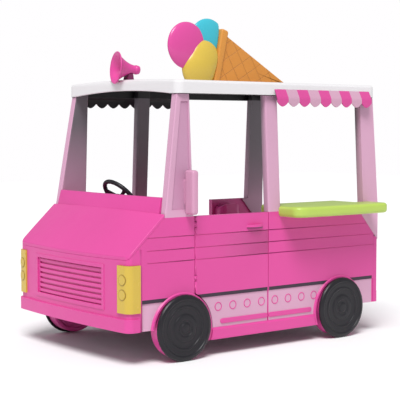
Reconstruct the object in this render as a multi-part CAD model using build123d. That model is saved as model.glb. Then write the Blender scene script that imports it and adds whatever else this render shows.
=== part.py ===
from build123d import *
import math
import os

# A child's play food truck of moulded plastic. Millimetres, x towards the truck's left side,
# y towards its rear, z up from the floor. While the pieces are drawn, x = 0 is the mid-plane of
# the body and y = 0 lies midway between the axles.

# Clearances
overrun = 30.0  # how far a cutting solid runs past what it cuts
seam = 4.0  # open seam round the door
lip_seam = 6.0  # open seam between the door and the wheel's lip
seat_gap = 0.3  # clearance of a piece that rests on another
pin_clearance = 0.06  # radial clearance of a pin or an axle in its bore

# Body shell
body_half_width = 430.0
wall = 26.0  # thickness of the side, front and rear walls
belt_z = 594.0  # top of the side walls
wall_bottom_z = 120.0
bumper_bottom_z = 141.0
front_overhang = 265.3  # from the front axle to the front face at the body's corners
rear_overhang = 253.3  # from the rear axle to the rear face
front_bow = 20.0  # how far the front face bows forward at its middle
corner_radius = 24.0
rear_corner_radius = 8.0
groove_width = 4.0
groove_depth = 2.0
groove_drops = (78.0, 130.0, 180.0)  # side grooves below the belt
skirt_top_z = 252.0  # top of the pale skirt panel
skirt_recess = 3.0

# Hood and cowl
hood_fall = 147.0  # from the belt down to the nose crease at the corners
hood_length = 178.0
hood_thickness = 16.0
hood_crown_y = 34.0  # how far the hood's rear crease bows forward at its middle
hood_crown_z = 8.0
hood_lift = 16.0  # how far the hood's rear edge stands above the belt
nose_crown_z = -4.0
cowl_rake = 10.0  # how far the cowl's top lies behind the hood's rear crease
cowl_height = 80.0  # above the belt
cowl_bow = 14.0
cowl_thickness = 22.0
dash_start = 7.0  # how far the dash starts behind the cowl's front skin
dash_depth = 96.0
dash_drop = 34.0  # shelf of the dash below the cowl's top
dash_height = 120.0
dash_fall = 11.0  # how far the shelf slopes down towards the rear
dash_edge = 11.0

# Wheels and running gear
wheelbase = 901.4
wheel_radius = 138.0
wheel_proud = 29.0  # how far the wheels stand out from the side walls
tyre_width = 19.0
tyre_shoulder = 9.0
tyre_bevel = 3.0
# Share of the face's radius and share of the shoulder's depth, from the rim to the hub
disc_ring_shares = (
    (0.86, 0.0),
    (0.84, 1.0),
    (0.70, 1.15),
    (0.68, 0.6),
    (0.63, 0.6),
    (0.61, 1.2),
    (0.40, 1.2),
    (0.37, 0.35),
    (0.24, 0.25),
    (0.22, 0.6),
    (0.12, 0.6),
    (0.10, 0.0),
)
drum_width = 57.0
drum_inset = 10.0  # how much smaller the drum's radius is than the tyre's
drum_dish = 7.0  # depth of the drum's sunk inner face
drum_rim = 14.0
drum_hub_radius = 26.0
axle_radius = 8.0
axle_end_cover = 14.0  # wheel disc left in front of the axle's end
arch_gap = 7.0  # how much larger the opening's radius is than the wheel's
arch_drop = 12.0  # how far the opening's centre lies below the axle
arch_lip = 13.0
arch_lip_proud = 5.0
well_thickness = 6.0
floor_over_axle = 38.0  # floor's top above the axles' middle
floor_thickness = 14.0
floor_rib_depth = 9.0
floor_rib_width = 10.0
floor_rib_shares = (-0.62, -0.2, 0.2, 0.62)  # of the half width between the wheels
block_inset = 145.0  # from the body's side to the middle of an axle block
block_width = 44.0
block_half_length = 34.0
block_foot_share = 0.5  # length of a block's foot over that of its top
block_below_axle = 20.0

# Sills
sill_height = 50.0
sill_proud = 7.0

# Door, hung at its front edge
door_behind_axle = 66.7  # from the front axle to the middle of the door's front seam
door_length = 405.0
hinge_inset_x = 8.0
hinge_inset_y = 6.0
hinge_pin_radius = 3.6
hinge_tab_radius = 7.0
hinge_tab_height = 22.0
hinge_tab_neck = 8.0
hinge_slot_gap = 2.5
hinge_drops = (258.0, 34.0)  # hinges below the belt
hinge_pin_extra = 14.0
handle_from_rear = 77.5  # from the door's rear seam to the handle's middle
handle_width = 92.0
handle_drop = 58.0  # below the belt
handle_height = 16.0
handle_reach = 20.0
handle_lip = 7.0  # thickness of the handle's lip over the finger space

# Right side, with an open doorway behind its own pillar
right_doorway_setback = 41.0  # its front edge ahead of the left door's rear seam
doorway_before_axle = 76.7  # its rear edge ahead of the rear axle

# Pillars and roof
window_height = 504.0  # from the belt to the roof's lower edge
roof_side_height = 56.0
roof_crown = 12.0
roof_inset = 10.0  # how far the roof's side lies inside the body's side
roof_overhang = 6.0  # how far the roof runs ahead of the front pillars' heads
roof_rear_overhang = 4.0
roof_wall = 15.0
roof_deck = 20.0
roof_edge_radius = 14.0
roof_corner_radius = 34.0
roof_front_rise = 20.0
roof_front_skin = 22.0  # how far back the arched front edge is cut
pillar_lean = 27.0  # how far the pillars lean inward from the belt to the roof
pillar_thickness = 36.0
pillar_round = 7.0
a_foot_setback = 2.0  # from the hood's rear crease to the front pillar's foot
a_foot_to_door = 4.0
a_rear_rake = 2.0
a_head_length = 68.0
a_border = 30.0
a_border_shares = (0.5, 0.33, 0.67)  # rear foot, rear head and front head of the sunk panel
a_recess = 5.0
b_setback = 1.0  # from the door's rear seam to the left middle pillar
b_width = 71.0
b_right_reach = 88.0  # from the right middle pillar's front to the doorway
d_width = 98.0
d_head_setback = 14.0
d_flare = 43.0  # how far the rear pillar's foot flares forward
d_flare_height = 144.0
rear_bumper_top_z = 192.0
rear_bumper_proud = 6.0

# Serving counter
counter_rise = 23.0  # above the belt
counter_thickness = 46.0
counter_inside = 150.0
counter_reach = 136.0
counter_setback = 58.0  # from the middle pillar's front to the counter's end
counter_rear_gap = 63.0  # from the counter's rear end to the rear face
counter_window_gap = 5.0
counter_corner = 46.0
counter_rear_corner = 20.0
counter_inner_corner = 23.0
counter_bow = 8.0
counter_edge_radius = 15.0

# Awnings
awning_length = 585.0
awning_stripes = 9
awning_left_rear_gap = 47.0  # from the left awning's rear end to the roof's rear edge
awning_right_setback = 32.0  # from the roof's front edge
awning_drop = 28.0  # from the roof's side edge to the awning's root
awning_fall = 38.0  # from the root to the fold
awning_reach = 20.0
awning_valance = 16.0  # from the fold to the cusps between the scallops
awning_scallop = 20.0
awning_thickness = 4.0
awning_tip_radius = 18.0
awning_tip_share = 0.5  # of the scallop, how far its straight sides would meet below the round tip

# Front end furniture
lamp_width = 64.0
lamp_drop = 37.0  # below the nose crease
lamp_height = 192.0
lamp_side_length = 54.0
lamp_proud = 7.0
lamp_skin = 12.0
lens_radius = 21.0
lens_relief = 2.0
lens_root = 3.5  # how far a lens is rooted in the lamp's skin
lens_height_shares = (0.39, 0.70)
grille_side_gap = 110.0  # from a lamp to the grille
grille_drop = 57.0  # below the nose crease
grille_height = 155.0
grille_recess = 12.0
grille_slats = 7
slat_share = 0.64  # slat height over slat pitch
slat_depth = 8.0
grille_frame = 16.0
grille_frame_proud = 3.0
grille_rail = 8.0
bumper_height = 54.0
bumper_proud = 9.0

# Mirrors
mirror_ahead = 50.0  # from the front pillar's rear foot to the mirror's front
mirror_depth = 31.0
mirror_width = 58.0
mirror_rise = 10.0  # above the belt
mirror_height = 182.0
mirror_round = 10.0
mirror_foot_half_height = 52.0
mirror_foot_inset = 5.0

# Steering
steer_x = -110.0
steer_behind_cowl = 143.0
steer_rise = 56.0  # above the belt
steer_radius = 92.0
steer_tube = 10.5
steer_tilt = 41.0  # degrees of the rim's plane from upright
steer_hub_radius = 24.0
steer_hub_height = 22.0
steer_hub_round = 5.5
steer_spoke_width = 20.0
steer_spoke_thickness = 9.0
spoke_angles = (90.0, 210.0, 330.0)
column_radius = 14.0
column_length = 100.0
steer_pin_radius = 7.0
steer_pin_depth = 14.6
steer_gap = 2.0

# Roof sign, a flat ice-cream cone that lies on its side
cone_ahead = 208.0  # from the roof's rear edge to the cone's tip
cone_length = 426.0  # from the tip to the mouth's foot
cone_height = 226.0
cone_lean = 40.0  # how far the mouth's top lies behind its foot
cone_thickness = 60.0
cone_edge = 8.0
collar_length = 34.0
collar_head = 40.0
collar_ahead = 27.0  # foot of the collar ahead of the cone's foot
collar_height = 250.0
collar_lean = 49.0
collar_fall = 13.0  # how much lower the collar's top is at its rear
collar_thickness = 76.0
collar_corner = 10.0
scoop_spacing = 0.4
scoop_shares = (
    # name, then shares of the cone's height: x, distance ahead of the collar's foot,
    # height over the roof, half thickness and radius
    (
        "scoop_yellow",
        (
            (0.0619, 0.1858, 0.4779, 0.1991, 0.3805),
            (0.0221, 0.3053, 0.2655, 0.1726, 0.3982),
        ),
    ),
    ("scoop_pink", ((0.0265, 0.5973, 0.7301, 0.1195, 0.4690),)),
    ("scoop_blue", ((-0.0133, 0.0310, 0.8496, 0.1106, 0.4469),)),
)

# Horn loudspeaker on the roof's front edge
horn_x = -14.0
horn_ahead = 13.0  # mouth ahead of the roof's front edge
horn_rise = 54.0  # over the roof
horn_radius = 71.0
horn_length = 113.0
horn_throat_radius = 19.0
horn_flare_shares = (0.45, 0.4)  # a middle point of the flare, of its length and its spread
horn_cap_radius = 21.0
horn_cap_length = 24.0
horn_cap_round = 7.5
horn_wall = 4.0
horn_yaw = 14.0
horn_pitch = 5.0
horn_plug_radius = 15.0
horn_plug_share = 0.6  # plug length over bell length
horn_plug_taper_share = 0.5
horn_foot_setback = 48.0
horn_foot_length = 30.0
horn_foot_head = 22.0
horn_foot_width = 36.0
horn_foot_flange = 5.0

# Storage pocket inside the right rear wall
pocket_setback = 81.0  # from the doorway to the pocket's middle
pocket_width = 126.0
pocket_depth = 60.0
pocket_drop = 22.0  # below the belt
pocket_height = 130.0
pocket_wall = 8.0
pocket_round = 34.0
pocket_shoulder = 36.0  # round upper corners of its front

# Lengthwise places
front_axle_y = -wheelbase / 2
rear_axle_y = wheelbase / 2
front_y = front_axle_y - front_overhang
rear_y = rear_axle_y + rear_overhang
fender_front_y = front_y + corner_radius + lamp_side_length - wall / 2
hood_rear_y = front_y + hood_length
cowl_top_y = hood_rear_y + cowl_rake
door_front_y = front_axle_y + door_behind_axle
door_rear_y = door_front_y + door_length
hinge_y = door_front_y + seam / 2 + hinge_inset_y
handle_y = door_rear_y - handle_from_rear
right_doorway_front_y = door_rear_y - right_doorway_setback
right_doorway_rear_y = rear_axle_y - doorway_before_axle
a_foot_front_y = hood_rear_y + a_foot_setback
a_foot_rear_y = door_front_y - a_foot_to_door
a_head_rear_y = a_foot_rear_y - a_rear_rake
a_head_front_y = a_head_rear_y - a_head_length
b_left_y = door_rear_y + b_setback
b_right_y = right_doorway_front_y - b_right_reach
d_front_y = rear_y - d_width
d_head_rear_y = rear_y - d_head_setback
d_flare_front_y = d_front_y - d_flare
roof_front_y = a_head_front_y - roof_overhang
roof_rear_y = d_head_rear_y + roof_rear_overhang
counter_left_y = b_left_y + counter_setback
counter_right_y = rear_y - counter_rear_gap
counter_window_front_y = b_left_y + b_width + counter_window_gap
counter_window_rear_y = d_flare_front_y - counter_window_gap
awning_pitch = awning_length / awning_stripes
awning_left_y = roof_rear_y - awning_left_rear_gap - awning_length
awning_right_y = roof_front_y + awning_right_setback
mirror_front_y = a_foot_rear_y - mirror_ahead
steer_y = cowl_top_y + steer_behind_cowl
cone_tip_y = roof_rear_y - cone_ahead
cone_foot_y = cone_tip_y - cone_length
collar_foot_y = cone_foot_y - collar_ahead
horn_foot_y = roof_front_y + horn_foot_setback
pocket_y = right_doorway_rear_y + pocket_setback
front_reach_y = front_y - front_bow - bumper_proud
rear_reach_y = rear_y + rear_bumper_proud

# Heights
arch_radius = wheel_radius + arch_gap
arch_z = wheel_radius - arch_drop
floor_top_z = wheel_radius + floor_over_axle
sill_bottom_z = wall_bottom_z - sill_height
bumper_top_z = bumper_bottom_z + bumper_height
nose_z = belt_z - hood_fall
hood_slope = (hood_fall + hood_lift) / hood_length
hood_rear_z = belt_z + hood_lift
cowl_top_z = belt_z + cowl_height
lamp_top_z = nose_z - lamp_drop
lamp_bottom_z = lamp_top_z - lamp_height
grille_top_z = nose_z - grille_drop
grille_bottom_z = grille_top_z - grille_height
handle_z = belt_z - handle_drop
d_flare_foot_z = belt_z - d_flare_height
rear_wall_top_z = d_flare_foot_z
roof_bottom_z = belt_z + window_height
roof_side_top_z = roof_bottom_z + roof_side_height
roof_top_z = roof_side_top_z + roof_crown
deck_bottom_z = roof_side_top_z - roof_deck
counter_top_z = belt_z + counter_rise
counter_bottom_z = counter_top_z - counter_thickness
awning_top_z = roof_side_top_z - awning_drop
awning_fold_z = awning_top_z - awning_fall
awning_cusp_z = awning_fold_z - awning_valance
mirror_bottom_z = belt_z + mirror_rise
mirror_top_z = mirror_bottom_z + mirror_height
steer_z = belt_z + steer_rise
pocket_top_z = belt_z - pocket_drop

# Sideways places
wall_inner_x = body_half_width - wall
wheel_outer_x = body_half_width + wheel_proud
wheel_inner_x = wheel_outer_x - tyre_width - drum_width
well_inner_x = wheel_inner_x - 2 * well_thickness
drum_radius = wheel_radius - drum_inset
block_x = body_half_width - block_inset
hinge_x = body_half_width - hinge_inset_x
roof_half_width = body_half_width - roof_inset
counter_inner_x = body_half_width - counter_inside
counter_outer_x = body_half_width + counter_reach
lamp_inner_x = body_half_width - lamp_width
grille_half_width = lamp_inner_x - grille_side_gap
mirror_outer_x = body_half_width + mirror_width
right_reach_x = -max(roof_half_width + awning_reach, mirror_outer_x)

# Middle of the whole toy's footprint, which is the origin of the files
origin_x = (counter_outer_x + right_reach_x) / 2
origin_y = (rear_reach_y + front_reach_y) / 2


def side_prism(points, x_low, x_high):
    """A closed outline of (y, z) points carried along x."""
    face = Plane.YZ.offset(x_low) * Polygon(*points, align=None)
    return extrude(face, amount=x_high - x_low, dir=(1, 0, 0))


def cross_prism(points, y_low, y_high):
    """A closed outline of (x, z) points carried along y."""
    face = Plane.XZ.offset(-y_low) * Polygon(*points, align=None)
    return extrude(face, amount=y_high - y_low, dir=(0, 1, 0))


def raise_face(face, z_low, z_high):
    """A face drawn in plan carried upward between two heights."""
    return extrude(Plane.XY.offset(z_low) * face, amount=z_high - z_low, dir=(0, 0, 1))


def carry_back(face, y_low, y_high):
    """A face drawn in x and z carried towards the rear."""
    return extrude(Plane.XZ.offset(-y_low) * face, amount=y_high - y_low, dir=(0, 1, 0))


def block(x_low, x_high, y_low, y_high, z_low, z_high):
    """A box between two corners."""
    centre = ((x_low + x_high) / 2, (y_low + y_high) / 2, (z_low + z_high) / 2)
    return Pos(*centre) * Box(x_high - x_low, y_high - y_low, z_high - z_low)


def rod(x_low, x_high, y, z, radius):
    """A round bar along x."""
    face = Plane.YZ.offset(x_low) * Pos(y, z) * Circle(radius)
    return extrude(face, amount=x_high - x_low, dir=(1, 0, 0))


def post(x, y, z_low, z_high, radius):
    """A round bar along z."""
    return raise_face(Pos(x, y) * Circle(radius), z_low, z_high)


def mirrored(shape):
    """The same piece on the truck's other side."""
    return mirror(shape, about=Plane.YZ)


def lean_x(z):
    """Outer face of the leaning pillars at a height."""
    return body_half_width - pillar_lean * (z - belt_z) / (roof_bottom_z - belt_z)


def lean_slab(y_low, y_high, outer_inset, inner_inset, z_low, z_high):
    """The leaning layer between two depths under the pillars' outer face."""
    outline = [
        (lean_x(z_low) - inner_inset, z_low),
        (lean_x(z_low) - outer_inset, z_low),
        (lean_x(z_high) - outer_inset, z_high),
        (lean_x(z_high) - inner_inset, z_high),
    ]
    return cross_prism(outline, y_low, y_high)


def hood_section(x, thickness, lift, reach):
    """Outline of the hood at one x, lifted and carried forward when it serves as a cutter."""
    share = 1 - (x / body_half_width) ** 2
    nose_y = front_y - front_bow * share
    crease_z = nose_z + nose_crown_z * share
    rear_crease_y = hood_rear_y - hood_crown_y * share
    rear_crease_z = hood_rear_z + hood_crown_z * share
    slope = (rear_crease_z - crease_z) / (rear_crease_y - nose_y)
    outline = [
        (nose_y - reach, crease_z - thickness - reach * slope),
        (rear_crease_y, rear_crease_z - thickness),
        (rear_crease_y, rear_crease_z + lift),
        (nose_y - reach, crease_z + lift),
    ]
    return Plane.YZ.offset(x) * Polygon(*outline, align=None)


def hood_solid(half_width, thickness, lift, reach):
    """The crowned hood, lofted through its two edges and its middle."""
    places = (-half_width, 0, half_width)
    return loft([hood_section(x, thickness, lift, reach) for x in places])


def above_hood():
    """Everything over the hood's underside, which trims what stands below it."""
    over = block(
        -body_half_width - overrun,
        body_half_width + overrun,
        front_y - front_bow - overrun,
        hood_rear_y,
        hood_rear_z + hood_crown_z,
        hood_rear_z + 2 * hood_crown_z,
    )
    wide = body_half_width + overrun
    return hood_solid(wide, hood_thickness + seat_gap, wall, bumper_proud) + over


def arch_disc(axle_y, radius, x_low, x_high):
    """A round cutter or lip blank about the centre of a wheel's opening."""
    return rod(x_low, x_high, axle_y, arch_z, radius)


def arch_ring(axle_y, front_foot_z, rear_foot_z):
    """The raised lip round a wheel, ending at the walls' lower edges."""
    outer = arch_radius + arch_lip
    x_high = body_half_width + arch_lip_proud
    ring = arch_disc(axle_y, outer, wall_inner_x, body_half_width)
    ring += Plane.YZ.offset(body_half_width) * (
        Pos(axle_y, arch_z, arch_lip_proud / 2)
        * Cone(outer, outer - arch_lip_proud, arch_lip_proud)
    )
    ring -= arch_disc(axle_y, arch_radius, wall_inner_x - overrun, x_high + overrun)
    low = arch_z - outer - overrun
    ring -= block(
        wall_inner_x - overrun, x_high + overrun, axle_y - outer - overrun, axle_y, low, front_foot_z
    )
    ring -= block(
        wall_inner_x - overrun, x_high + overrun, axle_y, axle_y + outer + overrun, low, rear_foot_z
    )
    return ring


def grooves(y_low, y_high):
    """Cutters for the shallow lines that run along a side wall."""
    cutters = []
    half = groove_width / 2
    for drop in groove_drops:
        z = belt_z - drop
        cutters.append(
            block(
                body_half_width - groove_depth, body_half_width + overrun, y_low, y_high, z - half, z + half
            )
        )
    return cutters


def skirt_cut(y_low, y_high):
    """Cutter for the shallow recess of the pale skirt panel."""
    return block(
        body_half_width - skirt_recess,
        body_half_width + overrun,
        y_low,
        y_high,
        wall_bottom_z - overrun,
        skirt_top_z,
    )


def under_hood_z(y, clearance):
    """Height of the hood's underside at the side walls."""
    return nose_z + (y - front_y) * hood_slope - hood_thickness - clearance


def front_side_wall(rear_edge_y):
    """Wall from the front corner back to the door or doorway, with the front wheel's lip."""
    points = [
        (fender_front_y, bumper_bottom_z),
        (rear_edge_y, bumper_bottom_z),
        (rear_edge_y, belt_z),
        (hood_rear_y, belt_z),
        (hood_rear_y, under_hood_z(hood_rear_y, seat_gap)),
        (fender_front_y, under_hood_z(fender_front_y, seat_gap)),
    ]
    panel = side_prism(points, wall_inner_x, body_half_width)
    for cutter in grooves(fender_front_y + wall, rear_edge_y + overrun):
        panel -= cutter
    panel -= skirt_cut(fender_front_y - overrun, rear_edge_y + overrun)
    panel += arch_ring(front_axle_y, bumper_bottom_z, sill_bottom_z)
    panel -= arch_disc(
        front_axle_y, arch_radius, wall_inner_x - overrun, body_half_width + overrun
    )
    panel -= above_hood()
    return panel


def hinge_tab(z):
    """Knuckle that reaches from the front wall into the door's edge and holds the pin."""
    low = z - hinge_tab_height / 2
    high = z + hinge_tab_height / 2
    tab = post(hinge_x, hinge_y, low, high, hinge_tab_radius)
    half = hinge_tab_neck / 2
    tab += block(hinge_x - half, hinge_x + half, door_front_y - seam, hinge_y, low, high)
    tab -= post(
        hinge_x, hinge_y, low - overrun, high + overrun, hinge_pin_radius + pin_clearance
    )
    return tab


def left_front_wall():
    """Left wall in front of the door, with the two hinge knuckles."""
    panel = front_side_wall(door_front_y - seam / 2)
    for drop in hinge_drops:
        panel += hinge_tab(belt_z - drop)
    return panel


def right_front_wall():
    """Right wall from the front corner to the open doorway."""
    lower = block(
        wall_inner_x,
        body_half_width,
        front_axle_y,
        right_doorway_front_y,
        wall_bottom_z,
        bumper_bottom_z,
    )
    lower -= skirt_cut(front_axle_y - overrun, right_doorway_front_y + overrun)
    lower -= arch_disc(
        front_axle_y, arch_radius, wall_inner_x - overrun, body_half_width + overrun
    )
    return mirrored(front_side_wall(right_doorway_front_y) + lower)


def rear_side_wall(front_edge_y, notch):
    """Wall from the door or doorway to the rear, with the rear wheel's lip."""
    points = [
        (front_edge_y, wall_bottom_z),
        (rear_axle_y, wall_bottom_z),
        (rear_axle_y, bumper_bottom_z),
        (rear_y - wall, bumper_bottom_z),
        (rear_y - wall, d_flare_foot_z + wall / 2 - seat_gap),
        (d_flare_front_y - seat_gap, belt_z),
        (front_edge_y, belt_z),
    ]
    panel = side_prism(points, wall_inner_x, body_half_width)
    for cutter in grooves(front_edge_y - overrun, rear_y + overrun):
        panel -= cutter
    panel -= skirt_cut(front_edge_y - overrun, rear_y + overrun)
    panel += arch_ring(rear_axle_y, sill_bottom_z, bumper_bottom_z)
    panel -= arch_disc(rear_axle_y, arch_radius, wall_inner_x - overrun, body_half_width + overrun)
    if notch:
        panel -= block(
            wall_inner_x - overrun,
            body_half_width + overrun,
            counter_window_front_y - seat_gap,
            counter_window_rear_y + seat_gap,
            counter_bottom_z - seat_gap,
            belt_z + overrun,
        )
    return panel


def door():
    """Left door, cut round behind the wheel's lip, with its two hinge pins."""
    front = door_front_y + seam / 2
    rear = door_rear_y - seam / 2
    points = [(front, wall_bottom_z), (rear, wall_bottom_z), (rear, belt_z), (front, belt_z)]
    panel = side_prism(points, wall_inner_x, body_half_width)
    hinge_edge = panel.edges().filter_by(Axis.Z).sort_by(Axis.Y)[:2].sort_by(Axis.X)[-1]
    panel = fillet(hinge_edge, hinge_inset_x - seat_gap)
    for cutter in grooves(front, rear + overrun):
        panel -= cutter
    panel -= skirt_cut(front - overrun, rear + overrun)
    panel -= arch_disc(
        front_axle_y,
        arch_radius + arch_lip + lip_seam,
        wall_inner_x - overrun,
        body_half_width + overrun,
    )
    slot_radius = math.hypot(hinge_inset_x, hinge_tab_neck / 2) + hinge_slot_gap / 2
    for drop in hinge_drops:
        z = belt_z - drop
        low = z - hinge_tab_height / 2 - hinge_slot_gap
        high = z + hinge_tab_height / 2 + hinge_slot_gap
        panel -= post(hinge_x, hinge_y, low, high, slot_radius)
        panel += post(
            hinge_x, hinge_y, low - hinge_pin_extra, high + hinge_pin_extra, hinge_pin_radius
        )
    return panel


def door_handle():
    """Lip handle, a shelf that curves out from the door."""
    low = handle_z - handle_height / 2
    lip = raise_face(handle_outline(handle_reach), low, low + handle_height)
    grip = raise_face(handle_outline(handle_reach - handle_lip), low - overrun, handle_z)
    return lip - grip


def handle_outline(reach):
    """Bow-shaped plan of the handle, from its two roots on the door."""
    half = handle_width / 2
    root = body_half_width
    front = (root, handle_y - half)
    rear = (root, handle_y + half)
    return make_face(Line(rear, front) + ThreePointArc(front, (root + reach, handle_y), rear))


def sills():
    """Raised sills between the wheels, one each side."""
    half = wheelbase / 2 - arch_radius
    top = wall_bottom_z - seat_gap
    outline = [
        (wall_inner_x, sill_bottom_z),
        (body_half_width + sill_proud, sill_bottom_z),
        (body_half_width + sill_proud, top - sill_proud),
        (body_half_width, top),
        (wall_inner_x, top),
    ]
    sill = cross_prism(outline, -half, half)
    clear = arch_radius + arch_lip + seat_gap
    for axle_y in (front_axle_y, rear_axle_y):
        sill -= arch_disc(axle_y, clear, wall_inner_x - overrun, body_half_width + overrun)
    return [sill, mirrored(sill)]


def front_plan(inset, z_low, z_high, rear_edge_y, proud):
    """Bowed front and its two rounded corners in plan, carried upward."""
    half = body_half_width - inset + proud
    edge = front_y + inset - proud
    middle = edge - front_bow
    outline = make_face(
        ThreePointArc((-half, edge), (0, middle), (half, edge))
        + Polyline((half, edge), (half, rear_edge_y), (-half, rear_edge_y), (-half, edge))
    )
    corners = outline.vertices().sort_by(Axis.Y)[:2]
    radius = corner_radius - inset / 2 + proud
    outline = fillet(corners, radius)
    return raise_face(outline, z_low, z_high)


def front_skin(z_low, z_high, rear_edge_y, proud):
    """The bowed front wall with its returns along both sides."""
    skin = front_plan(0, z_low, z_high, rear_edge_y, proud)
    skin -= front_plan(wall, z_low - overrun, z_high + overrun, rear_edge_y + overrun, 0)
    return skin


def front_panel():
    """Front wall with its bumper, grille recess and lamp seats."""
    rear_edge = fender_front_y - seat_gap
    skin = front_skin(bumper_bottom_z, nose_z + wall, rear_edge, 0)
    skin += front_skin(bumper_bottom_z, bumper_top_z, front_y + corner_radius + wall, bumper_proud)
    reach = front_bow + bumper_proud + overrun
    frame = block(
        -grille_half_width - grille_frame,
        grille_half_width + grille_frame,
        front_y - reach,
        front_y + wall / 2,
        grille_bottom_z - grille_frame,
        grille_top_z + grille_frame,
    )
    skin += frame & front_skin(bumper_bottom_z, nose_z, rear_edge, grille_frame_proud)
    window = block(
        -grille_half_width,
        grille_half_width,
        front_y - reach,
        front_y + wall,
        grille_bottom_z,
        grille_top_z,
    )
    keep = front_plan(grille_recess, bumper_bottom_z, nose_z, front_y + wall + overrun, 0)
    skin -= window - keep
    seat = lamp_blank(seat_gap)
    skin -= seat - front_plan(lamp_skin - lamp_proud, 0, nose_z, 0, 0)
    skin -= mirrored(seat) - front_plan(lamp_skin - lamp_proud, 0, nose_z, 0, 0)
    skin -= above_hood()
    return skin


def lamp_blank(clearance):
    """Space that a headlamp takes round the front left corner."""
    return block(
        lamp_inner_x - clearance,
        body_half_width + overrun,
        front_y - front_bow - overrun,
        front_y + lamp_side_length + clearance,
        lamp_bottom_z - clearance,
        lamp_top_z + clearance,
    )


def headlamp():
    """Lamp that wraps the corner, with two raised round lenses."""
    shell = front_plan(0, lamp_bottom_z, lamp_top_z, 0, lamp_proud)
    shell -= front_plan(
        lamp_skin - lamp_proud - seat_gap, lamp_bottom_z - overrun, lamp_top_z + overrun, overrun, 0
    )
    lamp = shell & lamp_blank(0)
    height = lamp_top_z - lamp_bottom_z
    centre_x = (lamp_inner_x + body_half_width) / 2
    face_y = front_y - lamp_proud
    for share in lens_height_shares:
        z = lamp_bottom_z + height * share
        bead = carry_back(Pos(centre_x, z) * Circle(lens_radius), face_y - front_bow, face_y + wall)
        bead &= front_plan(0, lamp_bottom_z, lamp_top_z, 0, lamp_proud + lens_relief)
        bead -= front_plan(0, lamp_bottom_z, lamp_top_z, overrun, lamp_proud - lens_root)
        lamp += bead
    return lamp


def grille():
    """Row of level slats that stand in the front panel's recess, held by a back plate."""
    height = grille_top_z - grille_bottom_z
    pitch = height / grille_slats
    reach = front_bow + overrun
    comb = None
    for number in range(grille_slats):
        low = grille_bottom_z + pitch * (number + (1 - slat_share) / 2)
        slat = block(
            -grille_half_width + seat_gap,
            grille_half_width - seat_gap,
            front_y - reach,
            front_y + wall,
            low,
            low + pitch * slat_share,
        )
        comb = slat if comb is None else comb + slat
    side = grille_half_width - seat_gap
    for x in (-side, side - grille_rail):
        comb += block(
            x,
            x + grille_rail,
            front_y - reach,
            front_y + wall,
            grille_bottom_z + seat_gap,
            grille_top_z - seat_gap,
        )
    front = front_plan(grille_recess - slat_depth, grille_bottom_z, grille_top_z, 0, 0)
    back = front_plan(grille_recess - seat_gap, 0, grille_top_z + overrun, overrun, 0)
    return comb & (front - back)


def hood():
    """Sloped, crowned hood between the nose and the cowl, rounded at the nose's corners."""
    top_z = hood_rear_z + hood_crown_z + overrun
    return hood_solid(body_half_width, hood_thickness, 0, 0) & front_plan(
        0, nose_z - overrun, top_z, hood_rear_y + overrun, 0
    )


def cowl():
    """Skin under the windscreen opening with the dash shelf behind it."""
    half = body_half_width - pillar_thickness - seat_gap
    sections = []
    for x in (-half, 0, half):
        share = 1 - (x / half) ** 2
        side_share = 1 - (half / body_half_width) ** 2
        crown = side_share + share * (1 - side_share)
        foot_y = hood_rear_y - hood_crown_y * crown + seat_gap
        foot_z = hood_rear_z + hood_crown_z * crown
        top_y = cowl_top_y - cowl_bow * share
        outline = [
            (foot_y, foot_z - hood_thickness),
            (foot_y + cowl_thickness, foot_z - hood_thickness),
            (top_y + cowl_thickness, cowl_top_z),
            (top_y, cowl_top_z),
            (foot_y, foot_z),
        ]
        sections.append(Plane.YZ.offset(x) * Polygon(*outline, align=None))
    skin = loft(sections)
    shelf_z = cowl_top_z - dash_drop
    start_y = cowl_top_y + dash_start - cowl_bow
    rear = cowl_top_y + dash_depth
    dash = side_prism(
        [
            (start_y, shelf_z),
            (rear - dash_edge, shelf_z - dash_fall),
            (rear, shelf_z - dash_fall - dash_edge),
            (rear, shelf_z - dash_height),
            (rear - cowl_thickness, shelf_z - dash_height),
            (rear - cowl_thickness, shelf_z - dash_fall - cowl_thickness),
            (start_y, shelf_z - cowl_thickness),
        ],
        -half,
        half,
    )
    slab = lean_slab(
        front_y,
        a_foot_rear_y,
        -overrun,
        pillar_thickness + seat_gap,
        belt_z,
        cowl_top_z + overrun,
    )
    return skin + dash - slab - mirrored(slab)


def a_pillar():
    """Left windscreen pillar, a tall wedge with a sunk panel on its outer side."""
    slope = (a_head_front_y - a_foot_front_y) / (roof_bottom_z - belt_z)
    head_y = a_foot_front_y + slope * (deck_bottom_z - belt_z)
    outline = [
        (a_foot_front_y, belt_z),
        (a_foot_rear_y, belt_z),
        (a_head_rear_y, deck_bottom_z),
        (head_y, deck_bottom_z),
    ]
    wedge = side_prism(outline, 0, body_half_width + overrun)
    slab = lean_slab(
        a_foot_front_y - overrun,
        a_foot_rear_y + overrun,
        0,
        pillar_thickness,
        belt_z,
        deck_bottom_z,
    )
    low = belt_z + a_border
    high = roof_bottom_z - a_border
    border_front = a_border + slope * (low - belt_z)
    rear_foot_share, rear_head_share, front_head_share = a_border_shares
    panel = side_prism(
        [
            (a_foot_front_y + border_front, low),
            (a_foot_rear_y - a_border * rear_foot_share, low),
            (a_head_rear_y - a_border * rear_head_share, high),
            (a_head_front_y + a_border * front_head_share, high),
        ],
        0,
        body_half_width + overrun,
    )
    sunk = lean_slab(a_foot_front_y, a_foot_rear_y, -overrun, a_recess, belt_z, roof_bottom_z)
    pillar = wedge & slab
    long_edges = [e for e in pillar.edges() if abs(e.tangent_at(0).Z) > abs(e.tangent_at(0).X) * 4]
    pillar = fillet(long_edges, pillar_round)
    return pillar - (panel & sunk)


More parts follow.
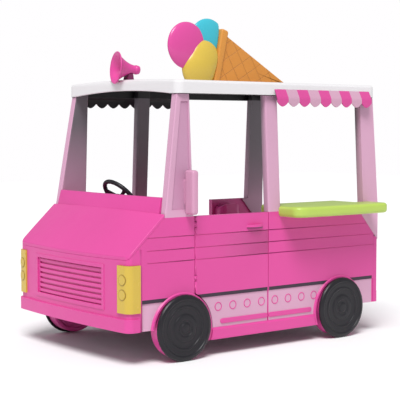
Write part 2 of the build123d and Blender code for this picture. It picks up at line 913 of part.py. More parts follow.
def straight_pillar(front, width):
    """A pillar with level front and rear faces, leaning inward with the others."""
    slab = lean_slab(front, front + width, 0, pillar_thickness, belt_z, deck_bottom_z)
    edges = [e for e in slab.edges() if abs(e.tangent_at(0).Z) > abs(e.tangent_at(0).X) * 4]
    return fillet(edges, pillar_round)


def d_pillar():
    """Left rear pillar, which flares down into the rear corner of the body."""
    taper = (rear_y - d_head_rear_y) / (roof_bottom_z - belt_z)
    head_y = rear_y - taper * (deck_bottom_z - belt_z)
    upper = [
        (d_front_y, belt_z),
        (rear_y, belt_z),
        (head_y, deck_bottom_z),
        (d_front_y, deck_bottom_z),
    ]
    post_part = side_prism(upper, 0, body_half_width + overrun) & lean_slab(
        d_front_y - overrun, rear_y + overrun, 0, pillar_thickness, belt_z, deck_bottom_z
    )
    lower = [
        (d_flare_front_y, belt_z),
        (rear_y - wall, d_flare_foot_z + wall / 2),
        (rear_y, d_flare_foot_z - wall / 2),
        (rear_y, belt_z),
    ]
    flare = side_prism(lower, body_half_width - pillar_thickness, body_half_width)
    return post_part + flare


def rear_wall():
    """Low rear wall with a bumper bar, open above."""
    lower_wall = block(
        -body_half_width,
        body_half_width,
        rear_y - wall + seat_gap,
        rear_y,
        bumper_bottom_z,
        rear_wall_top_z,
    )
    corners = lower_wall.edges().filter_by(Axis.Z).sort_by(Axis.Y)[-2:]
    lower_wall = fillet(corners, rear_corner_radius)
    flare = [
        (d_flare_front_y, belt_z),
        (rear_y - wall, d_flare_foot_z + wall / 2 - seat_gap),
        (rear_y + overrun, d_flare_foot_z - wall / 2 - seat_gap - overrun),
        (rear_y + overrun, belt_z),
    ]
    side_cut = side_prism(
        flare, body_half_width - pillar_thickness - seat_gap, body_half_width + overrun
    )
    lower_wall -= side_cut
    lower_wall -= mirrored(side_cut)
    bar = block(
        rear_corner_radius - body_half_width,
        body_half_width - rear_corner_radius,
        rear_y,
        rear_y + rear_bumper_proud,
        bumper_bottom_z,
        rear_bumper_top_z,
    )
    return lower_wall + bar


def roof_outline(half, front, rear, radius):
    """Roof plan with rounded corners."""
    return Pos(0, (front + rear) / 2) * RectangleRounded(2 * half, rear - front, radius)


def crown_block(rise):
    """Everything under the roof's crowned top, raised by a clearance."""
    half = roof_half_width + overrun
    top = roof_side_top_z + rise
    profile = make_face(
        ThreePointArc((-half, top), (0, top + roof_crown), (half, top))
        + Polyline((half, top), (half, 0), (-half, 0), (-half, top))
    )
    return carry_back(profile, roof_front_y - 4 * overrun, roof_rear_y + 4 * overrun)


def roof():
    """Hollow white roof with a crowned deck and an arched front edge."""
    plan = roof_outline(roof_half_width, roof_front_y, roof_rear_y, roof_corner_radius)
    shell = raise_face(plan, roof_bottom_z, roof_top_z)
    shell &= crown_block(0)
    rim = shell.faces().sort_by(Axis.Z)[-1].edges()
    shell = fillet(rim, roof_edge_radius)
    hollow = roof_outline(
        roof_half_width - roof_wall,
        roof_front_y + roof_wall,
        roof_rear_y - roof_wall,
        roof_corner_radius - roof_wall,
    )
    shell -= raise_face(hollow, roof_bottom_z - overrun, deck_bottom_z)
    half = roof_half_width - roof_corner_radius
    arch = make_face(
        ThreePointArc(
            (-half, roof_bottom_z), (0, roof_bottom_z + roof_front_rise), (half, roof_bottom_z)
        )
        + Polyline((half, roof_bottom_z), (-half, roof_bottom_z))
    )
    return shell - carry_back(arch, roof_front_y - overrun, roof_front_y + roof_front_skin)


def awning_stripe(start_y):
    """One stripe of the awning: a sloped strip, then a hanging scallop."""
    root = roof_half_width + seat_gap
    outer = roof_half_width + awning_reach
    t = awning_thickness
    slope = cross_prism(
        [
            (root, awning_top_z - t),
            (root, awning_top_z),
            (outer, awning_fold_z + t),
            (outer, awning_cusp_z),
            (outer - t, awning_cusp_z),
            (outer - t, awning_fold_z + t / 2),
        ],
        start_y,
        start_y + awning_pitch,
    )
    middle = start_y + awning_pitch / 2
    meeting_z = awning_cusp_z - awning_scallop * (1 + awning_tip_share)
    outline = Polygon(
        (start_y, awning_cusp_z + t),
        (start_y, awning_cusp_z),
        (middle, meeting_z),
        (start_y + awning_pitch, awning_cusp_z),
        (start_y + awning_pitch, awning_cusp_z + t),
        align=None,
    )
    tip = outline.vertices().sort_by(Axis.Y)[0]
    outline = fillet(tip, awning_tip_radius)
    scallop = extrude(Plane.YZ.offset(outer - t) * outline, amount=t, dir=(1, 0, 0))
    return slope + scallop


def awnings(first):
    """Every second stripe of both awnings, the first or the second lot."""
    stripes = []
    for number in range(first, awning_stripes, 2):
        stripes.append(awning_stripe(awning_left_y + number * awning_pitch))
        stripes.append(mirrored(awning_stripe(awning_right_y + number * awning_pitch)))
    return stripes


def counter():
    """Serving counter that passes through the window, bowed along its outer edge."""
    bow_y = (counter_left_y + counter_right_y) / 2
    edge_x = counter_outer_x - counter_bow
    joint_x = body_half_width + seat_gap
    outer = make_face(
        ThreePointArc(
            (edge_x, counter_left_y), (counter_outer_x, bow_y), (edge_x, counter_right_y)
        )
        + Polyline(
            (edge_x, counter_right_y),
            (joint_x, counter_right_y),
            (joint_x, counter_left_y),
            (edge_x, counter_left_y),
        )
    )
    outer = fillet(outer.vertices().sort_by(Axis.X)[-2:].sort_by(Axis.Y)[0], counter_corner)
    outer = fillet(outer.vertices().group_by(Axis.Y)[-1].sort_by(Axis.X)[-1], counter_rear_corner)
    inner = Polygon(
        (counter_inner_x, counter_window_front_y),
        (joint_x + counter_corner, counter_window_front_y),
        (joint_x + counter_corner, counter_window_rear_y),
        (counter_inner_x, counter_window_rear_y),
        align=None,
    )
    inner = fillet(inner.vertices().sort_by(Axis.X)[:2], counter_inner_corner)
    slab = raise_face(outer + inner, counter_bottom_z, counter_top_z)
    rims = slab.faces().sort_by(Axis.Z)[-1].edges() + slab.faces().sort_by(Axis.Z)[0].edges()
    outer_rims = [e for e in rims if e.center().X > joint_x + counter_edge_radius]
    return fillet(outer_rims, counter_edge_radius)


def door_mirror(pillar):
    """Left mirror housing with the foot that seats on the pillar."""
    inner = body_half_width + seat_gap
    housing = block(
        inner,
        mirror_outer_x,
        mirror_front_y,
        mirror_front_y + mirror_depth,
        mirror_bottom_z,
        mirror_top_z,
    )
    housing = fillet(housing.edges(), mirror_round)
    middle_z = (mirror_bottom_z + mirror_top_z) / 2
    foot = block(
        lean_x(middle_z) - pillar_thickness / 2,
        inner + mirror_round * 2,
        mirror_front_y + mirror_foot_inset,
        mirror_front_y + mirror_depth - mirror_foot_inset,
        middle_z - mirror_foot_half_height,
        middle_z + mirror_foot_half_height,
    )
    return (housing + foot) - pillar


def tyre():
    """Black outer disc of the front left wheel with its raised rings."""
    back = wheel_outer_x - tyre_width
    face = wheel_outer_x
    radius = wheel_radius - tyre_shoulder
    points = [
        (back, 0),
        (back, wheel_radius - tyre_bevel),
        (back + tyre_bevel, wheel_radius),
        (face - tyre_shoulder, wheel_radius),
        (face - tyre_bevel, wheel_radius - tyre_bevel),
        (face, radius),
    ]
    for share, depth_share in disc_ring_shares:
        points.append((face - tyre_shoulder * depth_share, radius * share))
    points += [(points[-1][0], 0), (back, 0)]
    disc = revolve(Plane.XY * make_face(Polyline(*points)), Axis.X)
    bore_end = wheel_outer_x - axle_end_cover
    return disc - rod(back - overrun, bore_end + seat_gap, 0, 0, axle_radius + pin_clearance)


def drum():
    """Closed inner half of the wheel, sunk between its rim and its hub towards the truck."""
    outer = wheel_outer_x - tyre_width - seat_gap
    floor_x = wheel_inner_x + drum_dish
    profile = make_face(
        Polyline(
            (wheel_inner_x, drum_radius - drum_rim),
            (wheel_inner_x, drum_radius - tyre_bevel),
            (wheel_inner_x + tyre_bevel, drum_radius),
            (outer, drum_radius),
            (outer, 0),
            (wheel_inner_x, 0),
            (wheel_inner_x, drum_hub_radius),
            (floor_x, drum_hub_radius + drum_dish),
            (floor_x, drum_radius - drum_rim - drum_dish),
            (wheel_inner_x, drum_radius - drum_rim),
        )
    )
    body = revolve(Plane.XY * profile, Axis.X)
    return body - rod(
        wheel_inner_x - overrun, outer + overrun, 0, 0, axle_radius + pin_clearance
    )


def axle(y):
    """Fixed steel axle under the floor."""
    half = wheel_outer_x - axle_end_cover
    return rod(-half, half, y, wheel_radius, axle_radius)


def axle_blocks():
    """Four blocks that hang from the floor and hold the axles."""
    blocks = []
    top = floor_top_z - floor_thickness - seat_gap
    low = wheel_radius - block_below_axle
    foot = block_half_length * block_foot_share
    for y in (front_axle_y, rear_axle_y):
        for x in (-block_x, block_x):
            outline = [
                (y - block_half_length, top),
                (y - foot, low),
                (y + foot, low),
                (y + block_half_length, top),
            ]
            body = side_prism(outline, x - block_width / 2, x + block_width / 2)
            body -= rod(
                x - block_width, x + block_width, y, wheel_radius, axle_radius + pin_clearance
            )
            blocks.append(body)
    return blocks


def axle_block_seats():
    """Room for the axle blocks below the floor, with a small clearance all round."""
    side = block_width / 2 + seat_gap
    reach = block_half_length + seat_gap
    low = wheel_radius - block_below_axle
    seats = [
        block(x - side, x + side, y - reach, y + reach, low, floor_top_z)
        for x in (-block_x, block_x)
        for y in (front_axle_y, rear_axle_y)
    ]
    return seats[0] + seats[1:]


def well_foot():
    """Half length of a wheel well where it stands on the floor."""
    return math.sqrt(arch_radius**2 - (floor_top_z - arch_z) ** 2)


def floor_pan():
    """Flat floor with a notch for each wheel."""
    side = wall_inner_x - seat_gap
    low = floor_top_z - floor_thickness
    rear = rear_y - wall - seat_gap
    pan = front_plan(wall + seat_gap, low, floor_top_z, rear, 0)
    foot = well_foot()
    for y in (front_axle_y, rear_axle_y):
        notch = block(well_inner_x + well_thickness, side + overrun, y - foot, y + foot, 0, belt_z)
        pan -= notch
        pan -= mirrored(notch)
    return pan


def floor_ribs():
    """Four ribs that run lengthwise under the floor."""
    top = floor_top_z - floor_thickness - seat_gap
    front = front_y + wall + seat_gap
    rear = rear_y - wall - seat_gap
    ribs = []
    for share in floor_rib_shares:
        x = share * wheel_inner_x
        half = floor_rib_width / 2
        rib = block(x - half, x + half, front, rear, top - floor_rib_depth, top)
        ribs.append(rib - axle_block_seats())
    return ribs


def wheel_well(y):
    """Arched cover over a left wheel, closed towards the cabin."""
    outer = wall_inner_x - seat_gap
    cover = arch_disc(y, arch_radius + well_thickness, well_inner_x, outer)
    cover -= arch_disc(y, arch_radius, well_inner_x + well_thickness, outer + overrun)
    reach = arch_radius + overrun
    low = floor_top_z + seat_gap
    base = arch_z - reach
    cover -= block(well_inner_x - overrun, outer + overrun, y - reach, y + reach, base, low)
    return cover


def steering_frame():
    """Plane whose z runs up the steering column through the rim's centre."""
    tilt = math.radians(steer_tilt)
    return Plane(
        origin=(steer_x, steer_y, steer_z), x_dir=(1, 0, 0), z_dir=(0, math.cos(tilt), math.sin(tilt))
    )


def steering_wheel():
    """Rim with three spokes and a dished hub."""
    rim = Torus(steer_radius, steer_tube)
    drop = -steer_hub_height
    hub = Pos(0, 0, drop / 2) * Cylinder(steer_hub_radius, steer_hub_height)
    hub = fillet(hub.edges().sort_by(Axis.Z)[-1], steer_hub_round)
    half = steer_spoke_width / 2
    for angle in spoke_angles:
        spoke = block(0, steer_radius, -half, half, -steer_spoke_thickness, 0)
        hub += Rot(0, 0, angle) * spoke
    return steering_frame() * (rim + hub - wheel_bore())


def wheel_bore():
    """Blind bore under the hub for the column's pin."""
    bore_z = steer_pin_depth / 2 - steer_hub_height
    return Pos(0, 0, bore_z) * Cylinder(steer_pin_radius + pin_clearance, steer_pin_depth)


def steering_column(dash):
    """Column from the dash to the wheel's hub, ending in a pin."""
    top = -steer_hub_height - steer_gap
    body = Pos(0, 0, top - column_length / 2) * Cylinder(column_radius, column_length)
    body += Pos(0, 0, top + steer_pin_depth / 2) * Cylinder(steer_pin_radius, steer_pin_depth)
    shaft = (steering_frame() * body) - dash
    return shaft.solids().sort_by(Axis.Y)[-1]


def sign_slab(points, thickness):
    """A flat piece of the sign with rounded edges, from its outline in y and z."""
    half = thickness / 2
    slab = side_prism(points, -half, half)
    rims = slab.faces().sort_by(Axis.X)[-1].edges() + slab.faces().sort_by(Axis.X)[0].edges()
    return fillet(rims, cone_edge)


def cone():
    """Flat cone on its side on the roof, with a raised collar at its mouth."""
    low = roof_top_z - overrun
    tail = overrun * (cone_length - cone_lean) / cone_height
    body = sign_slab(
        [
            (cone_foot_y, low),
            (cone_foot_y + cone_lean, roof_top_z + cone_height),
            (cone_tip_y + tail, low),
        ],
        cone_thickness,
    )
    top_y = collar_foot_y + collar_lean
    top_z = roof_top_z + collar_height
    draft = overrun * collar_lean / collar_height
    band = side_prism(
        [
            (collar_foot_y - draft, low),
            (top_y, top_z),
            (top_y + collar_head, top_z - collar_fall),
            (collar_foot_y + collar_length - draft, low),
        ],
        -collar_thickness / 2,
        collar_thickness / 2,
    )
    corners = band.edges().filter_by(Axis.X).sort_by(Axis.Z)[-2:]
    band = fillet(corners, collar_corner)
    rims = band.faces().sort_by(Axis.X)[-1].edges() + band.faces().sort_by(Axis.X)[0].edges()
    return body + fillet(rims, cone_edge)


def behind_mouth():
    """Everything behind the front of the cone's collar, with a small clearance."""
    reach = 2 * cone_length
    slope = collar_lean / collar_height
    front = collar_foot_y - seat_gap
    outline = [
        (front - reach * slope, roof_top_z - reach),
        (front + reach * slope, roof_top_z + reach),
        (front + 2 * reach, roof_top_z + reach),
        (front + 2 * reach, roof_top_z - reach),
    ]
    return side_prism(outline, -reach, reach)


def scoop_blank(lumps, clearance):
    """Flattened balls that make one scoop, grown by a clearance."""
    whole = None
    for shares in lumps:
        x, ahead, height, half_thickness, radius = [share * cone_height for share in shares]
        reach = radius + clearance
        flat_share = (half_thickness + clearance) / reach
        ball = scale(Sphere(reach), by=(flat_share, 1, 1))
        ball = Pos(x, collar_foot_y - ahead, roof_top_z + height) * ball
        whole = ball if whole is None else whole + ball
    return whole


def roof_sign():
    """The cone and its three scoops, each cut back from the ones before it."""
    crown = crown_block(seat_gap)
    pieces = {"cone": cone() - crown}
    behind = behind_mouth()
    used = None
    for name, lumps in scoop_shares:
        ball = scoop_blank(lumps, 0) - behind - crown
        if used is not None:
            ball -= used
        grown = scoop_blank(lumps, scoop_spacing)
        used = grown if used is None else used + grown
        pieces[name] = ball.solids().sort_by(SortBy.VOLUME)[-1]
    return pieces


def horn_frame():
    """Plane at the horn's mouth whose z points out of it."""
    yaw = math.radians(horn_yaw)
    pitch = math.radians(horn_pitch)
    z_dir = (-math.sin(yaw) * math.cos(pitch), -math.cos(yaw) * math.cos(pitch), math.sin(pitch))
    mouth = (horn_x, roof_front_y - horn_ahead, roof_top_z + horn_rise)
    return Plane(origin=mouth, x_dir=(math.cos(yaw), -math.sin(yaw), 0), z_dir=z_dir)


def horn():
    """Flared bell with a rolled rim, a centre plug and a round driver behind."""
    throat = -(horn_length - horn_cap_length)
    length_share, spread_share = horn_flare_shares
    mid_z = throat * length_share
    mid_r = horn_throat_radius + (horn_radius - horn_throat_radius) * spread_share
    outer = ThreePointArc((horn_radius, 0), (mid_r, mid_z), (horn_throat_radius, throat))
    inner = ThreePointArc(
        (horn_radius - horn_wall, 0),
        (mid_r - horn_wall, mid_z + horn_wall / 2),
        (horn_throat_radius - horn_wall, throat + horn_wall),
    )
    wall_face = make_face(
        outer
        + Line((horn_throat_radius, throat), (0, throat))
        + Line((0, throat), (0, throat + horn_wall))
        + Line((0, throat + horn_wall), (horn_throat_radius - horn_wall, throat + horn_wall))
        + inner
        + Line((horn_radius - horn_wall, 0), (horn_radius, 0))
    )
    bell = revolve(Plane.XZ * wall_face, Axis.Z)
    cap = Pos(0, 0, throat - horn_cap_length / 2) * Cylinder(horn_cap_radius, horn_cap_length)
    cap = fillet(cap.edges(), horn_cap_round)
    plug_length = -throat * horn_plug_share
    plug = Pos(0, 0, throat + plug_length / 2) * Cone(
        horn_plug_radius, horn_plug_radius * horn_plug_taper_share, plug_length
    )
    return horn_frame() * (bell + cap + plug)


def horn_foot(bell):
    """Bracket that carries the horn on the roof."""
    half = horn_foot_length / 2
    head = horn_foot_head / 2
    top = roof_top_z + horn_rise - horn_throat_radius
    base = roof_side_top_z
    outline = [
        (horn_foot_y - half - horn_foot_flange, base),
        (horn_foot_y + half + horn_foot_flange, base),
        (horn_foot_y + half, roof_top_z + horn_foot_flange),
        (horn_foot_y + head, top),
        (horn_foot_y - head, top),
        (horn_foot_y - half, roof_top_z + horn_foot_flange),
    ]
    foot = side_prism(outline, -horn_foot_width / 2, horn_foot_width / 2)
    foot = foot - crown_block(seat_gap) - bell
    return foot.solids().sort_by(SortBy.VOLUME)[-1]


def pocket():
    """Round-topped storage tub on the inside of the right rear wall."""
    outer_x = wall_inner_x - seat_gap
    half = pocket_width / 2
    base = pocket_top_z - pocket_height
    tub = block(
        outer_x - pocket_depth, outer_x, pocket_y - half, pocket_y + half, base, pocket_top_z
    )
    inner_edges = tub.edges().filter_by(Axis.Z).sort_by(Axis.X)[:2]
    tub = fillet(inner_edges, pocket_round)
    well = block(
        outer_x - pocket_depth + pocket_wall,
        outer_x - pocket_wall,
        pocket_y - half + pocket_wall,
        pocket_y + half - pocket_wall,
        base + pocket_wall,
        pocket_top_z + overrun,
    )
    well_edges = well.edges().filter_by(Axis.Z).sort_by(Axis.X)[:2]
    tub -= fillet(well_edges, pocket_round - pocket_wall)
    front = Pos(pocket_y, base + pocket_height / 2) * Rectangle(pocket_width, pocket_height)
    front = fillet(front.vertices().sort_by(Axis.Y)[-2:], pocket_shoulder)
    face = Plane.YZ.offset(outer_x - pocket_depth - overrun) * front
    tub &= extrude(face, amount=pocket_depth + 2 * overrun, dir=(1, 0, 0))
    return mirrored(tub)


def save(name, shapes):
    """Write one node, moved so that its origin is the middle of the whole toy's footprint."""
    shift = Pos(-origin_x, -origin_y, 0)
    solids = []
    for shape in shapes:
        solids.extend((shift * shape).solids())
    whole = solids[0] if len(solids) == 1 else Compound(children=solids)
    export_step(whole, f"parts/{name}.step")


def main():
    """Build every node of the toy and write it out."""
    os.makedirs("parts", exist_ok=True)
    the_roof = roof()
    pillar = a_pillar() - the_roof
    save("roof", [the_roof])
    save("a_pillars", [pillar, mirrored(pillar)])
    save("b_pillars", [straight_pillar(b_left_y, b_width), mirrored(straight_pillar(b_right_y, b_width))])
    rear_pillar = d_pillar() - the_roof
    save("rear_pillars", [rear_pillar, mirrored(rear_pillar)])
    save("left_front_wall", [left_front_wall()])
    save("right_front_wall", [right_front_wall()])
    save("left_rear_wall", [rear_side_wall(door_rear_y + seam / 2, True)])
    save("right_rear_wall", [mirrored(rear_side_wall(right_doorway_rear_y, False))])
    save("left_door", [door()])
    save("door_handle", [door_handle()])
    save("sills", sills())
    save("front_panel", [front_panel()])
    lamp = headlamp()
    save("headlamps", [lamp, mirrored(lamp)])
    save("grille", [grille()])
    save("hood", [hood()])
    the_cowl = cowl()
    save("cowl", [the_cowl])
    save("rear_wall", [rear_wall()])
    save("floor_pan", [floor_pan()])
    save("floor_ribs", floor_ribs())
    wells = [wheel_well(front_axle_y), wheel_well(rear_axle_y)]
    save("wheel_wells", wells + [mirrored(well) for well in wells])
    save("axle_blocks", axle_blocks())
    save("front_axle", [axle(front_axle_y)])
    save("rear_axle", [axle(rear_axle_y)])
    disc = tyre()
    inner = drum()
    for end, y in (("front", front_axle_y), ("rear", rear_axle_y)):
        place = Pos(0, y, wheel_radius)
        save(f"{end}_left_wheel_disc", [place * disc])
        save(f"{end}_left_wheel_drum", [place * inner])
        save(f"{end}_right_wheel_disc", [place * mirrored(disc)])
        save(f"{end}_right_wheel_drum", [place * mirrored(inner)])
    save("awning_dark_stripes", awnings(0))
    save("awning_pale_stripes", awnings(1))
    save("counter", [counter()])
    housing = door_mirror(pillar)
    save("mirrors", [housing, mirrored(housing)])
    save("steering_wheel", [steering_wheel()])
    save("steering_column", [steering_column(the_cowl)])
    for name, piece in roof_sign().items():
        save(name, [piece])
    bell = horn()
    save("horn", [bell])
    save("horn_foot", [horn_foot(bell)])
    save("storage_pocket", [pocket()])


main()
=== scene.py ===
"""Looks of a child's play food truck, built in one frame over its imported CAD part.

Lengths are metres. Shapes are drawn in the truck's own frame: x = 0 on the mid-plane and growing towards
its left side, y = 0 midway between the axles and growing towards its rear, z = 0 on the floor. Each mesh
is then moved to the row frame, whose origin is the middle of the whole toy's footprint.
"""

import logging
import math
from dataclasses import dataclass, field
from enum import Enum

import bmesh
import bpy
import numpy as np
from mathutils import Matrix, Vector

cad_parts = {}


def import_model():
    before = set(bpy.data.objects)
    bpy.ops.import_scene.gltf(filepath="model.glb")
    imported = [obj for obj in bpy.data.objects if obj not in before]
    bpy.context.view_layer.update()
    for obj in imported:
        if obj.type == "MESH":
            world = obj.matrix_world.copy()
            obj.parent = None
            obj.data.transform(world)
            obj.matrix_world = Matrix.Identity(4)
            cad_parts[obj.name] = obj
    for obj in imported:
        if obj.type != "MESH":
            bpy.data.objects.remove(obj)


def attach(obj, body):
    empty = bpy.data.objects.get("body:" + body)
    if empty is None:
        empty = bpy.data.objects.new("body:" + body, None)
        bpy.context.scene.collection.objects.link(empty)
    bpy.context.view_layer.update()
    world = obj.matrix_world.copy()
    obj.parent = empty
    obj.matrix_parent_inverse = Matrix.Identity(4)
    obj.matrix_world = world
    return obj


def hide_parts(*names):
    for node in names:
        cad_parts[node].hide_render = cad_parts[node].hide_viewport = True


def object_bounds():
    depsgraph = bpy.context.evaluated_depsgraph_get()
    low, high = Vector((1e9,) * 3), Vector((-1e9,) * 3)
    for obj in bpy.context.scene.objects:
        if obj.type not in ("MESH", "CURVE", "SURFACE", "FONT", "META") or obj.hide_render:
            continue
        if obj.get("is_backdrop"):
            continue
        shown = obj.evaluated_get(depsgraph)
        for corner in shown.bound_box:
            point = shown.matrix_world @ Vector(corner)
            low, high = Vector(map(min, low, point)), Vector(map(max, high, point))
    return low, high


LOG = logging.getLogger("play_truck")
SHIFT = np.array([-0.0390, 0.0175, 0.0])
BELT = 0.594
ON_LEFT_SIDE = ((0, 1, 0), (1, 0, 0))  # x and z directions of a shape that lies on the left side
NO_LIMIT = 9.0

Colour = tuple[float, float, float, float]


def srgb(red: int, green: int, blue: int) -> Colour:
    """Linear colour of an sRGB colour.

    Args:
        red: red, 0 to 255.
        green: green, 0 to 255.
        blue: blue, 0 to 255.

    Returns:
        The linear colour with alpha 1.
    """
    share = np.array([red, green, blue]) / 255.0
    linear = np.where(share <= 0.04045, share / 12.92, ((share + 0.055) / 1.055) ** 2.4)
    return (float(linear[0]), float(linear[1]), float(linear[2]), 1.0)


class Body(Enum):
    """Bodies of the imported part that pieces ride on."""

    TRUCK = "truck"
    DOOR = "left_door"
    STEERING = "steering_wheel"
    FRONT_LEFT = "front_left_wheel"
    FRONT_RIGHT = "front_right_wheel"
    REAR_LEFT = "rear_left_wheel"
    REAR_RIGHT = "rear_right_wheel"


class Slot(Enum):
    """Material slots of the record."""

    WHITE = "white_shell"
    PALE = "pale_pink"
    PINK = "pink_body"
    LAMP = "yellow_lamp"
    YELLOW = "yellow_scoop"
    BLUE = "blue_scoop"
    CONE = "orange_cone"
    GREEN = "green_counter"
    BLACK = "black_plastic"
    STEEL = "axle_steel"


# Mesh arrays


@dataclass
class Surface:
    """A mesh held as whole arrays.

    Args:
        points: place of each vertex, (n, 3).
        quads: four vertex numbers for each face, (m, 4).
        tags: material number of each face, (m,).
        flat: place on the pattern for each vertex, (n, 2), or None.
    """

    points: np.ndarray
    quads: np.ndarray
    tags: np.ndarray
    flat: np.ndarray | None = None

    @classmethod
    def grid(
        cls, points: np.ndarray, around: bool = False, along: bool = False, tag: int = 0
    ) -> "Surface":
        """Faces between neighbouring rows and columns.

        Args:
            points: a (rows, columns, 3) array.
            around: joins the last column to the first.
            along: joins the last row to the first.
            tag: material number of the faces.

        Returns:
            The surface.
        """
        rows, columns = points.shape[:2]
        number = np.arange(rows * columns).reshape(rows, columns)
        if along:
            number = np.vstack([number, number[:1]])
        if around:
            number = np.hstack([number, number[:, :1]])
        corners = (number[:-1, :-1], number[1:, :-1], number[1:, 1:], number[:-1, 1:])
        quads = np.stack(corners, axis=-1).reshape(-1, 4)
        return cls(points.reshape(-1, 3), quads, np.full(len(quads), tag))

    @classmethod
    def join(cls, *parts: "Surface") -> "Surface":
        """One surface out of several.

        Args:
            parts: the surfaces.

        Returns:
            The joined surface.
        """
        starts = np.cumsum([0] + [len(part.points) for part in parts[:-1]])
        quads = np.vstack([part.quads + start for part, start in zip(parts, starts)])
        flat = None
        if all(part.flat is not None for part in parts):
            flat = np.vstack([part.flat for part in parts])
        points = np.vstack([part.points for part in parts])
        return cls(points, quads, np.concatenate([part.tags for part in parts]), flat)

    def placed(self, origin: tuple, x_dir: tuple, z_dir: tuple) -> "Surface":
        """The surface carried from its own axes to a frame in the truck.

        Args:
            origin: where its origin goes.
            x_dir: where its x axis points.
            z_dir: where its z axis points.

        Returns:
            The moved surface.
        """
        z_axis = np.array(z_dir, float) / np.linalg.norm(z_dir)
        x_axis = np.array(x_dir, float) - z_axis * np.dot(x_dir, z_axis)
        x_axis /= np.linalg.norm(x_axis)
        axes = np.stack([x_axis, np.cross(z_axis, x_axis), z_axis])
        return Surface(self.points @ axes + np.array(origin), self.quads, self.tags, self.flat)

    def mirrored(self) -> "Surface":
        """The same surface on the truck's other side.

        Returns:
            The mirrored surface, its faces turned back outwards.
        """
        points = self.points * np.array([-1.0, 1.0, 1.0])
        return Surface(points, self.quads[:, ::-1], self.tags, self.flat)


def rounded_path(points: list, radius: float, steps: int = 5, closed: bool = False) -> np.ndarray:
    """A polyline with each corner cut back by a radius and bridged by a parabola.

    Args:
        points: corners, (n, 2).
        radius: how far each corner is cut back, at most 0.48 of the shorter neighbouring side.
        steps: points on each bridge.
        closed: joins the end to the start.

    Returns:
        The smoothed path, (k, 2).
    """
    corner = np.array(points, float)
    before, after = np.roll(corner, 1, axis=0), np.roll(corner, -1, axis=0)
    to_before, to_after = before - corner, after - corner
    long_before = np.linalg.norm(to_before, axis=1, keepdims=True)
    long_after = np.linalg.norm(to_after, axis=1, keepdims=True)
    cut = np.minimum(radius, 0.48 * np.minimum(long_before, long_after))
    start, end = corner + to_before / long_before * cut, corner + to_after / long_after * cut
    t = np.linspace(0, 1, steps)[None, :, None]
    bridge = (
        (1 - t) ** 2 * start[:, None] + 2 * t * (1 - t) * corner[:, None] + t**2 * end[:, None]
    )
    if closed:
        return bridge.reshape(-1, 2)
    middle = bridge[1:-1].reshape(-1, 2)
    return np.vstack([corner[:1], middle, corner[-1:]])


def lathe(path: np.ndarray, steps: int) -> Surface:
    """A surface of revolution about z: each (r, z) point of the path goes round in a ring.

    Args:
        path: radius and height, (k, 2). Ends on the axis close the shape.
        steps: faces round the axis.

    Returns:
        The surface.
    """
    angle = np.linspace(0, 2 * np.pi, steps, endpoint=False)
    radius, height = path[:, 0][:, None], path[:, 1][:, None]
    points = np.stack(
        [radius * np.cos(angle), radius * np.sin(angle), height + 0 * angle], axis=-1
    )
    return Surface.grid(points, around=True)


def inset(outline: np.ndarray, distance: float) -> np.ndarray:
    """A closed outline moved inwards along its own normals.

    Args:
        outline: closed outline that runs anticlockwise, (k, 2).
        distance: how far in.

    Returns:
        The moved outline.
    """
    tangent = np.roll(outline, -1, axis=0) - np.roll(outline, 1, axis=0)
    tangent /= np.maximum(np.linalg.norm(tangent, axis=1, keepdims=True), 1e-9)
    normal = np.stack([-tangent[:, 1], tangent[:, 0]], axis=1)
    return outline + normal * distance


def slab(outline: np.ndarray, low: float, high: float, radius: float, steps: int = 5) -> Surface:
    """A plate with a closed outline and rounded rims: quarter circles of the rim's radius.

    Args:
        outline: closed outline that runs anticlockwise, (k, 2).
        low: height of the lower face.
        high: height of the upper face.
        radius: radius of both rims.
        steps: points on each quarter circle.

    Returns:
        The closed surface, its faces closed by shrinking the outline to its middle.
    """
    turn = np.linspace(0, np.pi / 2, steps)
    insets = np.concatenate([radius * (1 - np.sin(turn)), radius * (1 - np.cos(turn))])
    heights = np.concatenate([low + radius * (1 - np.cos(turn)), high - radius * (1 - np.sin(turn))])
    outlines = [inset(outline, distance) for distance in insets]
    middle, edge = outline.mean(axis=0), inset(outline, radius)
    half_way = middle + (edge - middle) / 2
    centre = middle + edge * 0
    outlines = [centre, half_way, *outlines, half_way, centre]
    levels = np.concatenate([[low, low], heights, [high, high]])
    rings = [np.column_stack([ring, np.full(len(ring), z)]) for ring, z in zip(outlines, levels)]
    return Surface.grid(np.stack(rings), around=True)


def offset_corners(corners: np.ndarray, distance: float) -> np.ndarray:
    """Corners of a polygon whose sides have all moved in: each moves along its own bisector.

    Args:
        corners: the polygon, anticlockwise, (k, 2).
        distance: how far in.

    Returns:
        The moved corners.
    """
    side = np.roll(corners, -1, axis=0) - corners
    after = side / np.linalg.norm(side, axis=1, keepdims=True)
    inward = np.stack([-after[:, 1], after[:, 0]], axis=1)
    inward_before = np.roll(inward, 1, axis=0)
    lean = 1 + np.sum(inward * inward_before, axis=1, keepdims=True)
    return corners + distance * (inward + inward_before) / lean


def rounded_rectangle(width: float, height: float, radius: float) -> np.ndarray:
    """Closed outline of a rectangle about the origin with round corners, anticlockwise.

    Args:
        width: size along the first axis.
        height: size along the second axis.
        radius: corner radius.

    Returns:
        The outline, six points on each corner, (24, 2).
    """
    turn = np.linspace(0, np.pi / 2, 6)
    centres = np.array([[1, 1], [-1, 1], [-1, -1], [1, -1]]) * np.array(
        [width / 2 - radius, height / 2 - radius]
    )
    arcs = [
        centre + radius * np.column_stack([np.cos(turn + quarter), np.sin(turn + quarter)])
        for centre, quarter in zip(centres, np.arange(4) * np.pi / 2)
    ]
    return np.vstack(arcs)


